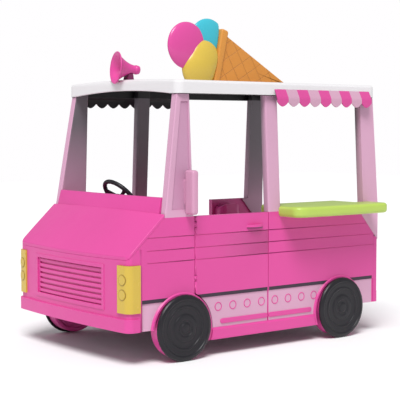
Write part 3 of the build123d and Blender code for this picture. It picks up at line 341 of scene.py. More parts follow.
def wall_between(outer: np.ndarray, inner: np.ndarray, tags: tuple[int, int, int]) -> Surface:
    """A thin closed wall between an outer and an inner (rows, columns, 3) grid.

    Args:
        outer: the outer face.
        inner: the inner face, point for point behind the outer one.
        tags: material numbers of the outer face, the inner face and the four edges.

    Returns:
        The closed surface.
    """
    edges = (
        np.stack([outer[0], inner[0]]),
        np.stack([inner[-1], outer[-1]]),
        np.stack([inner[:, 0], outer[:, 0]]),
        np.stack([outer[:, -1], inner[:, -1]]),
    )
    strips = [Surface.grid(edge, tag=tags[2]) for edge in edges]
    return Surface.join(
        Surface.grid(outer, tag=tags[0]), Surface.grid(inner[:, ::-1], tag=tags[1]), *strips
    )


def sweep(path: np.ndarray, section: np.ndarray, up: tuple, size: np.ndarray) -> Surface:
    """A closed section carried along a path and closed at both ends.

    Args:
        path: points of the path, (n, 3).
        section: closed section, (k, 2), its second axis kept near up.
        up: direction that the section's second axis leans to.
        size: factor on the section's two axes at each point of the path, (n, 2).

    Returns:
        The closed surface.
    """
    tangent = np.gradient(path, axis=0)
    tangent /= np.linalg.norm(tangent, axis=1, keepdims=True)
    side = np.cross(tangent, np.array(up, float))
    side /= np.linalg.norm(side, axis=1, keepdims=True)
    top = np.cross(side, tangent)
    across = section[None, :, 0:1] * size[:, None, 0:1] * side[:, None, :]
    points = path[:, None, :] + across + section[None, :, 1:2] * size[:, None, 1:2] * top[:, None, :]
    ends = [np.repeat(path[i][None, None, :], len(section), axis=1) for i in (0, -1)]
    return Surface.grid(np.concatenate([ends[0], points, ends[1]]), around=True)


def circle(radius: float, steps: int) -> np.ndarray:
    """Closed circle about the origin, anticlockwise.

    Args:
        radius: its radius.
        steps: points.

    Returns:
        The outline, (steps, 2).
    """
    angle = np.linspace(0, 2 * np.pi, steps, endpoint=False)
    return radius * np.column_stack([np.cos(angle), np.sin(angle)])


# Objects

SMOOTH_BEND = 35.0  # degrees; a sharper edge is shaded as an edge
SHARP_BEND = 32.0  # degrees; a sharper edge of a CAD copy is rounded
FLAT_BEND = 0.7  # degrees; faces of a CAD copy that bend less are joined


def finish_mesh(mesh: bpy.types.Mesh, angle: float) -> None:
    """Merges doubles, turns faces outwards and shades smooth under an angle.

    Args:
        mesh: the mesh.
        angle: edges sharper than this many degrees stay sharp.
    """
    work = bmesh.new()
    work.from_mesh(mesh)
    bmesh.ops.remove_doubles(work, verts=work.verts, dist=1e-6)
    bmesh.ops.dissolve_degenerate(work, edges=work.edges, dist=1e-7)
    bmesh.ops.recalc_face_normals(work, faces=work.faces)
    work.to_mesh(mesh)
    work.free()
    mesh.shade_smooth()
    mesh.set_sharp_from_angle(angle=math.radians(angle))


def add_piece(
    name: str,
    surface: Surface,
    materials: list,
    body: Body,
    replaces: tuple[str, ...] = (),
    angle: float = SMOOTH_BEND,
) -> bpy.types.Object:
    """Puts a surface into the scene as a piece that rides on a body.

    Args:
        name: the piece's name.
        surface: its mesh in the truck's own frame.
        materials: its materials, in the order of the faces' tags.
        body: the body it rides on.
        replaces: CAD nodes it stands for.
        angle: edges sharper than this many degrees stay sharp.

    Returns:
        The new object.
    """
    mesh = bpy.data.meshes.new(name)
    mesh.from_pydata((surface.points + SHIFT).tolist(), [], surface.quads.tolist())
    mesh.polygons.foreach_set("material_index", surface.tags.astype(np.int32))
    if surface.flat is not None:
        layer = mesh.uv_layers.new(name="pattern")
        corners = np.zeros(len(mesh.loops), np.int32)
        mesh.loops.foreach_get("vertex_index", corners)
        layer.data.foreach_set("uv", surface.flat[corners].astype(np.float32).ravel())
    finish_mesh(mesh, angle)
    for material in materials:
        mesh.materials.append(material)
    piece = bpy.data.objects.new(name, mesh)
    bpy.context.scene.collection.objects.link(piece)
    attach(piece, body.value)
    if replaces:
        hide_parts(*replaces)
    return piece


def moulded_copy(
    node: str,
    material: bpy.types.Material,
    body: Body,
    edge: float,
    tight: tuple,
) -> bpy.types.Object:
    """A merged copy of a CAD node with its flat faces joined and its sharp edges rounded.

    Each sharp edge gets a bevel weight of 1, or none where its middle lies in a tight box.

    Args:
        node: the CAD node.
        material: its material.
        body: the body it rides on.
        edge: width of the rounded edges.
        tight: boxes in the truck's own frame, low and high corner, whose edges stay unrounded so
            that neighbouring pieces meet without a groove.

    Returns:
        The new object.
    """
    mesh = bpy.data.objects[node].data.copy()
    mesh.name = f"{node}_moulded"
    work = bmesh.new()
    work.from_mesh(mesh)
    bmesh.ops.remove_doubles(work, verts=work.verts, dist=2e-5)
    flat = math.radians(FLAT_BEND)
    bmesh.ops.dissolve_limit(work, angle_limit=flat, verts=work.verts, edges=work.edges)
    weight = work.edges.layers.float.new("bevel_weight_edge")
    middles = np.array([(side.verts[0].co + side.verts[1].co) / 2 for side in work.edges]) - SHIFT
    bends = np.array([side.calc_face_angle(0.0) for side in work.edges])
    rounded = bends > math.radians(SHARP_BEND)
    for low, high in tight:
        rounded &= ~np.all((middles >= low) & (middles <= high), axis=1)
    for side, share in zip(work.edges, rounded.astype(float).tolist()):
        side[weight] = share
    work.to_mesh(mesh)
    work.free()
    mesh.materials.clear()
    mesh.materials.append(material)
    mesh.shade_smooth()
    mesh.set_sharp_from_angle(angle=math.radians(SMOOTH_BEND))
    piece = bpy.data.objects.new(f"{node}_moulded", mesh)
    bpy.context.scene.collection.objects.link(piece)
    if edge > 0:
        bevel = piece.modifiers.new("rounded edges", "BEVEL")
        bevel.width = edge
        bevel.segments = 3
        bevel.limit_method = "WEIGHT"
        bevel.miter_outer = "MITER_ARC"
        bevel.use_clamp_overlap = True
        bevel.harden_normals = False
        weights = piece.modifiers.new("flat faces", "WEIGHTED_NORMAL")
        weights.keep_sharp = False
        weights.weight = 80
    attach(piece, body.value)
    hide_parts(node)
    return piece


# Materials


class Graph:
    """Helper that adds nodes to a material's tree.

    Args:
        material: the material.
    """

    def __init__(self, material: bpy.types.Material) -> None:
        material.use_nodes = True
        self.tree = material.node_tree
        self.tree.nodes.clear()
        self.output = self.tree.nodes.new("ShaderNodeOutputMaterial")
        self.shader = self.tree.nodes.new("ShaderNodeBsdfPrincipled")
        self.tree.links.new(self.shader.outputs[0], self.output.inputs[0])
        self.coordinates = self.tree.nodes.new("ShaderNodeTexCoord")

    def put(self, socket: bpy.types.NodeSocket, value: object) -> None:
        """Sets a socket to a constant or links it.

        Args:
            socket: the input.
            value: a constant, or an output socket.
        """
        if isinstance(value, bpy.types.NodeSocket):
            self.tree.links.new(value, socket)
        else:
            socket.default_value = value

    def math(self, operation: str, first: object, second: object = 0.0) -> bpy.types.NodeSocket:
        """A Math node.

        Args:
            operation: its operation.
            first: first value.
            second: second value.

        Returns:
            The result's socket.
        """
        node = self.tree.nodes.new("ShaderNodeMath")
        node.operation = operation
        for socket, value in zip(node.inputs, (first, second)):
            self.put(socket, value)
        return node.outputs[0]

    def axes(self) -> list:
        """Object coordinates carried to the truck's own frame, axis by axis.

        Returns:
            The x, y and z sockets.
        """
        node = self.tree.nodes.new("ShaderNodeSeparateXYZ")
        self.put(node.inputs[0], self.coordinates.outputs["Object"])
        x, y = (self.math("SUBTRACT", node.outputs[axis], float(SHIFT[axis])) for axis in (0, 1))
        return [x, y, node.outputs[2]]

    def noise(self, scale: float, detail: float = 2.0, roughness: float = 0.5) -> bpy.types.NodeSocket:
        """A noise pattern on Object coordinates.

        Args:
            scale: how fine it is, per metre.
            detail: octaves.
            roughness: weight of the fine octaves.

        Returns:
            The pattern's socket, about 0 to 1.
        """
        node = self.tree.nodes.new("ShaderNodeTexNoise")
        node.inputs["Scale"].default_value = scale
        node.inputs["Detail"].default_value = detail
        node.inputs["Roughness"].default_value = roughness
        self.put(node.inputs["Vector"], self.coordinates.outputs["Object"])
        return node.outputs["Fac"]

    def spread(
        self, value: object, low: float, high: float, start: float = 0.3, end: float = 0.7
    ) -> bpy.types.NodeSocket:
        """A Map Range node.

        Args:
            value: what comes in.
            low: result at start.
            high: result at end.
            start: lowest value that counts.
            end: highest value that counts.

        Returns:
            The result's socket.
        """
        node = self.tree.nodes.new("ShaderNodeMapRange")
        for name, number in (("From Min", start), ("From Max", end), ("To Min", low), ("To Max", high)):
            node.inputs[name].default_value = number
        self.put(node.inputs["Value"], value)
        return node.outputs[0]

    def mix(self, share: object, first: object, second: object) -> bpy.types.NodeSocket:
        """Mixes two colours.

        Args:
            share: 0 for the first, 1 for the second.
            first: first colour.
            second: second colour.

        Returns:
            The colour's socket.
        """
        node = self.tree.nodes.new("ShaderNodeMix")
        node.data_type = "RGBA"
        self.put(node.inputs[0], share)
        self.put(node.inputs[6], first)
        self.put(node.inputs[7], second)
        return node.outputs[2]

    def bump(
        self, height: object, distance: float, strength: float = 1.0, under: object = None
    ) -> bpy.types.NodeSocket:
        """A Bump node.

        Args:
            height: the height pattern.
            distance: height in metres at 1.
            strength: share of it.
            under: a normal it builds on.

        Returns:
            The normal's socket.
        """
        node = self.tree.nodes.new("ShaderNodeBump")
        node.inputs["Distance"].default_value = distance
        node.inputs["Strength"].default_value = strength
        self.put(node.inputs["Height"], height)
        if under is not None:
            self.put(node.inputs["Normal"], under)
        return node.outputs[0]


@dataclass(frozen=True)
class Zone:
    """A box in the truck's own frame that is painted another colour, a colour of the toy itself in some
    boxes and painted shade in others.

    Args:
        colour: its colour.
        z_low: lower end in z.
        z_high: upper end in z.
        x_low: least distance from the mid-plane.
        x_high: greatest distance from the mid-plane.
        y_low: front end.
        y_high: rear end.
        lean: how far the pillars lean in for each metre above the belt.
        right: keeps it to the truck's right side.
        full_z: height from which it is at full strength; it fades towards the belt.
        soft: width of the blend at its outer side.
    """

    colour: Colour
    z_low: float = -NO_LIMIT
    z_high: float = NO_LIMIT
    x_low: float = -NO_LIMIT
    x_high: float = NO_LIMIT
    y_low: float = -NO_LIMIT
    y_high: float = NO_LIMIT
    lean: float = 0.0
    right: bool = False
    full_z: float = 0.0
    soft: float = 0.0


@dataclass(frozen=True)
class Plastic:
    """Moulded plastic with a fine grain, slow waviness and slightly uneven colour and gloss.

    Args:
        name: the material's name.
        colour: its colour.
        roughness: its middle roughness.
        grain: height of the fine grain.
        wave: height of the slow waviness of the moulding.
        mottle: share by which the colour varies.
        zones: painted boxes, some of the toy's own colours and some of painted shade.
        specular: the shader's specular level.
    """

    name: str
    colour: Colour
    roughness: float = 0.36
    grain: float = 0.000016
    wave: float = 0.00022
    mottle: float = 0.05
    zones: tuple[Zone, ...] = ()
    specular: float = 0.45

    def inside(self, graph: Graph, zone: Zone) -> bpy.types.NodeSocket:
        """Mask of a zone.

        Args:
            graph: the material's nodes.
            zone: the zone.

        Returns:
            A socket that is 1 inside it.
        """
        side, y, z = graph.axes()
        x = graph.math("ABSOLUTE", side)
        if zone.lean:
            x = graph.math("ADD", x, graph.math("MULTIPLY", graph.math("SUBTRACT", z, BELT), zone.lean))
        mask = graph.math("LESS_THAN", side, 0.0) if zone.right else None
        if zone.soft:
            blend = graph.spread(x, 1.0, 0.0, zone.x_high - zone.soft / 2, zone.x_high + zone.soft / 2)
            mask = blend if mask is None else graph.math("MULTIPLY", mask, blend)
        for axis, low, high in (
            (x, zone.x_low, NO_LIMIT if zone.soft else zone.x_high),
            (y, zone.y_low, zone.y_high),
            (z, zone.z_low, zone.z_high),
        ):
            for operation, limit in (("GREATER_THAN", low), ("LESS_THAN", high)):
                if abs(limit) < NO_LIMIT:
                    test = graph.math(operation, axis, limit)
                    mask = test if mask is None else graph.math("MULTIPLY", mask, test)
        if zone.full_z:
            mask = graph.math("MULTIPLY", mask, graph.spread(z, 0.12, 1.0, BELT, zone.full_z))
        return mask

    def build(self) -> bpy.types.Material:
        """Makes the material.

        Returns:
            The new material.
        """
        material = bpy.data.materials.new(self.name)
        graph = Graph(material)
        slow = graph.noise(2.6, 3.0)
        fine = graph.noise(900.0, 2.0)
        colour = self.colour
        for zone in self.zones:
            colour = graph.mix(self.inside(graph, zone), colour, zone.colour)
        shade = graph.spread(slow, 0.0, self.mottle)
        base = graph.mix(shade, colour, (0.0, 0.0, 0.0, 1.0))
        graph.put(graph.shader.inputs["Base Color"], base)
        rough = graph.spread(graph.noise(14.0, 4.0, 0.6), self.roughness * 0.88, self.roughness * 1.14)
        graph.put(graph.shader.inputs["Roughness"], rough)
        graph.shader.inputs["Specular IOR Level"].default_value = self.specular
        waves = graph.bump(graph.noise(9.0, 2.0), self.wave)
        graph.put(graph.shader.inputs["Normal"], graph.bump(fine, self.grain, 0.6, waves))
        return material


@dataclass(frozen=True)
class LampPlastic:
    """Glossy lamp plastic with a line of painted shade round each lens and faint upright flutes in the
    lenses.

    Args:
        name: the material's name.
        colour: its colour.
        line: colour of the painted shade lines; the slow uneven tone also leans towards it.
        centre_x: distance of the lenses from the mid-plane.
        centre_zs: their heights.
        radius: radius of a lens.
        width: width of the line.
        face_y: how far back the lenses reach.
        flutes: radians of the flutes' sine wave for each metre.
        flute_depth: their depth.
    """

    name: str
    colour: Colour
    line: Colour
    centre_x: float = 0.398
    centre_zs: tuple[float, ...] = (0.2929, 0.3524)
    radius: float = 0.0212
    width: float = 0.0034
    face_y: float = -0.690
    flutes: float = 1400.0
    flute_depth: float = 0.0002

    def build(self) -> bpy.types.Material:
        """Makes the material.

        Returns:
            The new material.
        """
        material = bpy.data.materials.new(self.name)
        graph = Graph(material)
        x, y, z = graph.axes()
        x = graph.math("SUBTRACT", graph.math("ABSOLUTE", x), self.centre_x)
        front = graph.math("LESS_THAN", y, self.face_y)
        line, lens = 0.0, 0.0
        for height in self.centre_zs:
            up = graph.math("SUBTRACT", z, height)
            square = graph.math("ADD", graph.math("MULTIPLY", x, x), graph.math("MULTIPLY", up, up))
            away = graph.math("SQRT", square)
            ring = graph.math("ABSOLUTE", graph.math("SUBTRACT", away, self.radius))
            line = graph.math("MAXIMUM", line, graph.spread(ring, 1.0, 0.0, 0.0, self.width))
            lens = graph.math("MAXIMUM", lens, graph.math("LESS_THAN", away, self.radius - self.width))
        line = graph.math("MULTIPLY", line, front)
        slow = graph.mix(graph.spread(graph.noise(6.0, 3.0), 0.0, 0.08), self.colour, self.line)
        # painted shade: the ring mask darkens a line round each lens
        base = graph.mix(graph.math("MULTIPLY", line, 0.8), slow, self.line)
        graph.put(graph.shader.inputs["Base Color"], base)
        rough = graph.spread(graph.noise(14.0, 4.0, 0.6), 0.2, 0.3)
        graph.put(graph.shader.inputs["Roughness"], rough)
        graph.shader.inputs["Specular IOR Level"].default_value = 0.5
        flutes = graph.math("SINE", graph.math("MULTIPLY", x, self.flutes))
        flutes = graph.math("MULTIPLY", graph.math("MULTIPLY", flutes, lens), front)
        relief = graph.bump(flutes, self.flute_depth)
        waves = graph.bump(graph.noise(9.0, 2.0), 0.0002, 1.0, relief)
        fine = graph.bump(graph.noise(900.0, 2.0), 0.000016, 0.6, waves)
        graph.put(graph.shader.inputs["Normal"], fine)
        return material


@dataclass(frozen=True)
class WafflePlastic:
    """Plastic with moulded lines of a rolled waffle, drawn on the piece's own pattern map.

    Args:
        name: the material's name.
        colour: its colour.
        line: colour in the lines.
        depth: depth of the lines.
        width: half width of a line, as a share of the pitch.
    """

    name: str
    colour: Colour
    line: Colour
    depth: float = 0.0016
    width: float = 0.035

    def build(self) -> bpy.types.Material:
        """Makes the material.

        Returns:
            The new material.
        """
        material = bpy.data.materials.new(self.name)
        graph = Graph(material)
        split = graph.tree.nodes.new("ShaderNodeSeparateXYZ")
        graph.put(split.inputs[0], graph.coordinates.outputs["UV"])
        lines = []
        for axis in (split.outputs[0], split.outputs[1]):
            away = graph.math("ABSOLUTE", graph.math("SUBTRACT", graph.math("FRACT", axis), 0.5))
            lines.append(graph.spread(away, 1.0, 0.0, 0.0, self.width))
        line = graph.math("MAXIMUM", lines[0], lines[1])
        slow = graph.spread(graph.noise(7.0, 4.0), 0.0, 0.16)
        base = graph.mix(slow, self.colour, self.line)
        base = graph.mix(graph.math("MULTIPLY", line, 0.42), base, self.line)
        graph.put(graph.shader.inputs["Base Color"], base)
        rough = graph.spread(graph.noise(16.0, 4.0), 0.38, 0.5)
        graph.put(graph.shader.inputs["Roughness"], rough)
        graph.shader.inputs["Specular IOR Level"].default_value = 0.4
        groove = graph.bump(graph.math("SUBTRACT", 1.0, line), self.depth)
        fine = graph.bump(graph.noise(700.0, 2.0), 0.00003, 0.6, groove)
        graph.put(graph.shader.inputs["Normal"], fine)
        return material


@dataclass(frozen=True)
class Steel:
    """Drawn steel bar with fine lines across its length.

    Args:
        name: the material's name.
        colour: its colour.
    """

    name: str
    colour: Colour

    def build(self) -> bpy.types.Material:
        """Makes the material.

        Returns:
            The new material.
        """
        material = bpy.data.materials.new(self.name)
        graph = Graph(material)
        slow = graph.noise(30.0, 3.0)
        graph.put(
            graph.shader.inputs["Base Color"],
            graph.mix(graph.spread(slow, 0.0, 0.2), self.colour, (0.2, 0.2, 0.2, 1.0)),
        )
        graph.shader.inputs["Metallic"].default_value = 1.0
        graph.put(graph.shader.inputs["Roughness"], graph.spread(slow, 0.28, 0.42))
        fine = graph.bump(graph.noise(1500.0, 2.0), 0.00001)
        graph.put(graph.shader.inputs["Normal"], fine)
        return material


@dataclass
class Palette:
    """All finishes of the toy, built once.

    Args:
        made: materials that were built, by name.
    """

    made: dict = field(default_factory=dict)

    PILLAR_LEAN = 0.0536
    PINK = srgb(219, 74, 155)
    PALE = srgb(211, 162, 190)
    # painted shade: the pale in a recess
    RECESS_SHADE = srgb(196, 146, 176)
    NIGHT = srgb(52, 36, 54)
    # painted shade: the body's pink in shade
    PLUM_SHADE = srgb(118, 42, 86)
    # painted shade: near-black under the roof and under the awnings
    DEEP_SHADE = srgb(25, 23, 27)
    SHADE = srgb(112, 106, 113)
    # painted shade: greyed pink for the underside, which throws less pink light onto the floor
    UNDERSIDE_SHADE = srgb(158, 140, 150)

    def finishes(self) -> list:
        """Every finish.

        Returns:
            The finishes.
        """
        ends = {"y_low": -0.652, "y_high": 0.668}
        skirt = Zone(self.PALE, z_low=0.0, z_high=0.2522, x_low=0.4195, x_high=0.4287, **ends)
        stripe = Zone(self.NIGHT, z_low=0.2522, z_high=0.2672, x_low=0.4195, x_high=0.4304, **ends)
        seam = Zone(self.PINK, z_high=0.268, x_low=0.4195, y_low=0.0165, y_high=0.0255)
        # painted shade: the roof's underside, inner faces and lowest rim are near-black
        under = Zone(self.DEEP_SHADE, z_high=1.1345, x_high=0.4085, y_low=-0.4525, y_high=0.6825)
        rim = Zone(self.DEEP_SHADE, z_high=1.1005)
        lean = self.PILLAR_LEAN
        # painted shade: each front pillar's sunk panel is darker, as shade in its recess
        panel = Zone(self.RECESS_SHADE, x_low=0.4238, x_high=0.4264, y_low=-0.53, y_high=-0.38, lean=lean)
        behind = Zone(self.SHADE, x_high=0.3955, lean=lean, full_z=0.98)
        inward = Zone(self.SHADE, x_high=0.409, y_low=-0.2, lean=lean, full_z=1.02, soft=0.026)
        far = Zone(self.SHADE, x_high=0.4275, y_low=-0.2, lean=lean, right=True, full_z=1.06)
        # painted shade: the right pillars' tops under the roof are near-black
        eaves = Zone(self.DEEP_SHADE, z_low=1.1, y_low=-0.2, right=True)
        return [
            Plastic("pink_moulded", self.PINK),
            Plastic("pink_sides", self.PINK, zones=(skirt, stripe, seam)),
            Plastic("pillar_moulded", self.PALE, 0.4, zones=(panel, behind, inward, far, eaves)),
            # painted shade: the handle's underside below 0.5335 m is plum
            Plastic("handle_moulded", self.PINK, zones=(Zone(self.PLUM_SHADE, z_high=0.5335),)),
            # painted shade: the floor pan, ribs and axle blocks below 0.1632 m are greyed and darker
            Plastic("floor_moulded", self.PINK, zones=(Zone(self.UNDERSIDE_SHADE, z_high=0.1632),)),
            # painted shade: plum for the horn's foot
            Plastic("plum_painted_shade", self.PLUM_SHADE, roughness=0.4),
            Plastic("mirror_moulded", srgb(208, 152, 182), roughness=0.34),
            Plastic("white_moulded", srgb(228, 226, 228), 0.34, mottle=0.02, zones=(under, rim)),
            # painted shade: the awnings' pink and pale are darker copies of the body's pink and pale
            Plastic("awning_pink", srgb(210, 74, 148), roughness=0.42),
            Plastic("awning_pale", srgb(203, 158, 182), roughness=0.42),
            # painted shade: near-black for the awnings' undersides
            Plastic("painted_deep_shade", self.DEEP_SHADE, roughness=0.5, mottle=0.2),
            Plastic("black_moulded", srgb(36, 35, 40), 0.34, 0.00003, mottle=0.12, specular=0.3),
            LampPlastic("yellow_moulded", srgb(208, 178, 68), srgb(138, 108, 34)),
            Plastic("scoop_yellow_moulded", srgb(218, 188, 78), roughness=0.24),
            Plastic("scoop_blue_moulded", srgb(66, 188, 207), roughness=0.24),
            Plastic("scoop_pink_moulded", srgb(221, 80, 158), roughness=0.24),
            Plastic("green_moulded", srgb(180, 206, 92), roughness=0.34),
            WafflePlastic("cone_moulded", srgb(216, 144, 64), srgb(170, 104, 42)),
            Plastic("collar_moulded", srgb(218, 148, 66), roughness=0.4),
            Plastic("mirror_film", srgb(205, 208, 214), roughness=0.12, grain=0.0, wave=0.0001),
            Steel("axle_bar", srgb(170, 172, 178)),
        ]

    def build(self) -> None:
        """Builds every material."""
        for finish in self.finishes():
            self.made[finish.name] = finish.build()

    def __getitem__(self, name: str) -> bpy.types.Material:
        """One material.

        Args:
            name: its name.

        Returns:
            The material.
        """
        return self.made[name]


# Sub-assemblies


@dataclass(frozen=True)
class ShellPiece:
    """A moulded panel that keeps its CAD shape, with rounded edges.

    Args:
        node: the CAD node.
        finish: name of its material.
        slot: its slot; not used.
        edge: width of its rounded edges.
        body: the body it rides on.
        tight: boxes whose edges stay unrounded.
    """

    node: str
    finish: str
    slot: Slot
    edge: float
    body: Body = Body.TRUCK
    tight: tuple = ()


@dataclass
class Shell:
    """Body panels, pillars and roof.

    The boxes hold the edges that stay unrounded: round the hinge's knuckles, along the door's seams and
    along the joints between the front panel and the walls.

    Args:
        panels: every panel.
    """

    KNUCKLES = (
        ((0.36, -0.400, 0.30), (0.45, -0.3825, 0.385)),
        ((0.36, -0.400, 0.515), (0.45, -0.3825, 0.60)),
        ((0.36, -0.3815, 0.30), (0.45, -0.360, 0.385)),
        ((0.36, -0.3815, 0.515), (0.45, -0.360, 0.60)),
    )
    SEAMS = (
        ((0.39, -0.3865, 0.0), (0.44, -0.3780, 0.70)),
        ((0.39, 0.0150, 0.0), (0.44, 0.0270, 0.70)),
    )
    FENDERS = (
        ((0.39, -0.662, 0.10), (0.44, -0.640, 0.60)),
        ((-0.44, -0.662, 0.10), (-0.39, -0.640, 0.60)),
    )

    panels: tuple[ShellPiece, ...] = (
        ShellPiece("roof", "white_moulded", Slot.WHITE, 0.004),
        ShellPiece("a_pillars", "pillar_moulded", Slot.PALE, 0.0025),
        ShellPiece("b_pillars", "pillar_moulded", Slot.PALE, 0.0),
        ShellPiece("rear_pillars", "pillar_moulded", Slot.PALE, 0.006),
        ShellPiece("left_front_wall", "pink_sides", Slot.PINK, 0.0018, tight=KNUCKLES + SEAMS + FENDERS),
        ShellPiece("right_front_wall", "pink_sides", Slot.PINK, 0.0018, tight=FENDERS),
        ShellPiece("left_rear_wall", "pink_sides", Slot.PINK, 0.0018, tight=SEAMS),
        ShellPiece("right_rear_wall", "pink_sides", Slot.PINK, 0.0018),
        ShellPiece("left_door", "pink_sides", Slot.PINK, 0.0018, Body.DOOR, KNUCKLES + SEAMS),
        ShellPiece("door_handle", "handle_moulded", Slot.PINK, 0.002, Body.DOOR),
        ShellPiece("sills", "pink_moulded", Slot.PINK, 0.003),
        ShellPiece("front_panel", "pink_moulded", Slot.PINK, 0.0045, tight=FENDERS),
        ShellPiece("grille", "pink_moulded", Slot.PINK, 0.0032),
        ShellPiece("headlamps", "yellow_moulded", Slot.LAMP, 0.0035),
        ShellPiece("hood", "pink_moulded", Slot.PINK, 0.0075),
        ShellPiece("cowl", "pink_moulded", Slot.PINK, 0.005),
        ShellPiece("rear_wall", "pink_moulded", Slot.PINK, 0.003),
        ShellPiece("floor_pan", "floor_moulded", Slot.PINK, 0.003),
        ShellPiece("floor_ribs", "floor_moulded", Slot.PINK, 0.002),
        ShellPiece("wheel_wells", "pink_moulded", Slot.PINK, 0.002),
        ShellPiece("axle_blocks", "floor_moulded", Slot.PINK, 0.003),
        ShellPiece("storage_pocket", "pink_moulded", Slot.PINK, 0.003),
        # painted shade: the horn's foot is plum, the pink in the horn's shade
        ShellPiece("horn_foot", "plum_painted_shade", Slot.PINK, 0.003),
    )

    def build(self, palette: Palette) -> None:
        """Makes every panel.

        Args:
            palette: the finishes.
        """
        for panel in self.panels:
            finish = palette[panel.finish]
            moulded_copy(panel.node, finish, panel.body, panel.edge, panel.tight)


@dataclass
class Trim:
    """Raised rings and bars on the left skirt, strips over the front joints, hinge slot covers.

    Args:
        panel_x: outer face of the skirt.
        ring_radius: radius of a ring's line.
        ring_line: half width of that line.
        ring_z: height of the rings.
        ring_ys: places of the rings.
        bar_y: ends of the bar.
        bar_z: heights of the bar.
        bar_proud: how far the bar stands out.
        seam_y: the door's rear seam.
        seam: half its width.
        fender_y: where the front panel meets the side walls.
        fender_z: heights of the smooth strip over that joint.
        fender_width: width of that strip.
        fender_proud: how far it stands out.
        wedge: side outline of the filler under the hood's edge, in y and z.
        wedge_depth: how far the filler reaches in.
        cover: width and height of a cover over a knuckle slot of the door.
        cover_proud: how far it stands out.
        cover_y: middle of the covers.
        cover_zs: their heights.
        sunk: how deep bars and strips reach into what carries them.
        side_x: outer face of the walls.
    """

    panel_x: float = 0.427
    ring_radius: float = 0.0172
    ring_line: float = 0.0021
    ring_z: float = 0.207
    ring_ys: tuple[float, ...] = (-0.257, -0.177, -0.097, -0.016, 0.062, 0.140, 0.220, 0.296)
    bar_y: tuple[float, float] = (-0.246, 0.280)
    bar_z: tuple[float, float] = (0.133, 0.154)
    bar_proud: float = 0.004
    seam_y: float = 0.021
    seam: float = 0.003
    fender_y: float = -0.651
    fender_z: tuple[float, float] = (0.404, 0.4855)
    fender_width: float = 0.006
    fender_proud: float = 0.0003
    wedge: tuple = ((-0.6687, 0.4732), (-0.6518, 0.4732), (-0.6518, 0.4889))
    wedge_depth: float = 0.022
    cover: tuple[float, float] = (0.006, 0.029)
    cover_proud: float = 0.00025
    cover_y: float = -0.3715
    cover_zs: tuple[float, float] = (0.336, 0.560)
    sunk: float = 0.002
    side_x: float = 0.430

    def slot_covers(self) -> Surface:
        """Two thin skins on the door, behind its pins, that close the knuckle slots' outer side.

        Returns:
            The surface.
        """
        proud = self.cover_proud
        skin = slab(rounded_rectangle(*self.cover, 0.001), -2 * proud, proud, 0.8 * proud, 2)
        return Surface.join(
            *(skin.placed((self.side_x, self.cover_y, z), *ON_LEFT_SIDE) for z in self.cover_zs)
        )

    def fender_strip(self) -> Surface:
        """A flat strip over the joint above the left lamp, with the filler under the hood's edge.

        Returns:
            The surface.
        """
        outline = rounded_rectangle(self.fender_width, self.fender_z[1] - self.fender_z[0], 0.002)
        plate = slab(outline, -self.sunk, self.fender_proud, self.fender_proud, 2)
        middle = (self.side_x, self.fender_y, sum(self.fender_z) / 2)
        outline = rounded_path(list(self.wedge), 0.001, 3, closed=True)
        filler = slab(outline, -self.wedge_depth, 0.0, self.fender_proud, 2)
        filler = filler.placed((self.side_x, 0.0, 0.0), *ON_LEFT_SIDE)
        return Surface.join(plate.placed(middle, *ON_LEFT_SIDE), filler)

    def ring(self, y: float) -> Surface:
        """A round bead, half sunk, that goes round in a circle on the skirt.

        Args:
            y: place of its middle.

        Returns:
            The surface.
        """
        section = circle(self.ring_line, 12) + np.array([self.ring_radius, 0.0])
        bead = lathe(np.vstack([section, section[:1]]), 48)
        return bead.placed((self.panel_x, y, self.ring_z), *ON_LEFT_SIDE)

    def bar(self, low: float, high: float) -> Surface:
        """A flat bar with round ends and a rounded rim.

        Args:
            low: its front end.
            high: its rear end.

        Returns:
            The surface.
        """
        height = self.bar_z[1] - self.bar_z[0]
        outline = rounded_rectangle(high - low, height, height * 0.42)
        plate = slab(outline, -self.sunk, self.bar_proud, 0.4 * self.bar_proud)
        middle = (self.panel_x, (low + high) / 2, sum(self.bar_z) / 2)
        return plate.placed(middle, *ON_LEFT_SIDE)

    def build(self, palette: Palette) -> None:
        """Makes the trim.

        Args:
            palette: the finishes.
        """
        pink = [palette["pink_moulded"]]
        front = [self.ring(y) for y in self.ring_ys if y < self.seam_y]
        rear = [self.ring(y) for y in self.ring_ys if y > self.seam_y]
        front.append(self.bar(self.bar_y[0], self.seam_y - self.seam))
        rear.append(self.bar(self.seam_y + self.seam, self.bar_y[1]))
        front.append(self.slot_covers())
        add_piece("door_relief", Surface.join(*front), pink, Body.DOOR)
        add_piece("rear_wall_relief", Surface.join(*rear), pink, Body.TRUCK)
        strip = self.fender_strip()
        both = Surface.join(strip, strip.mirrored())
        add_piece("fender_strips", both, pink, Body.TRUCK)


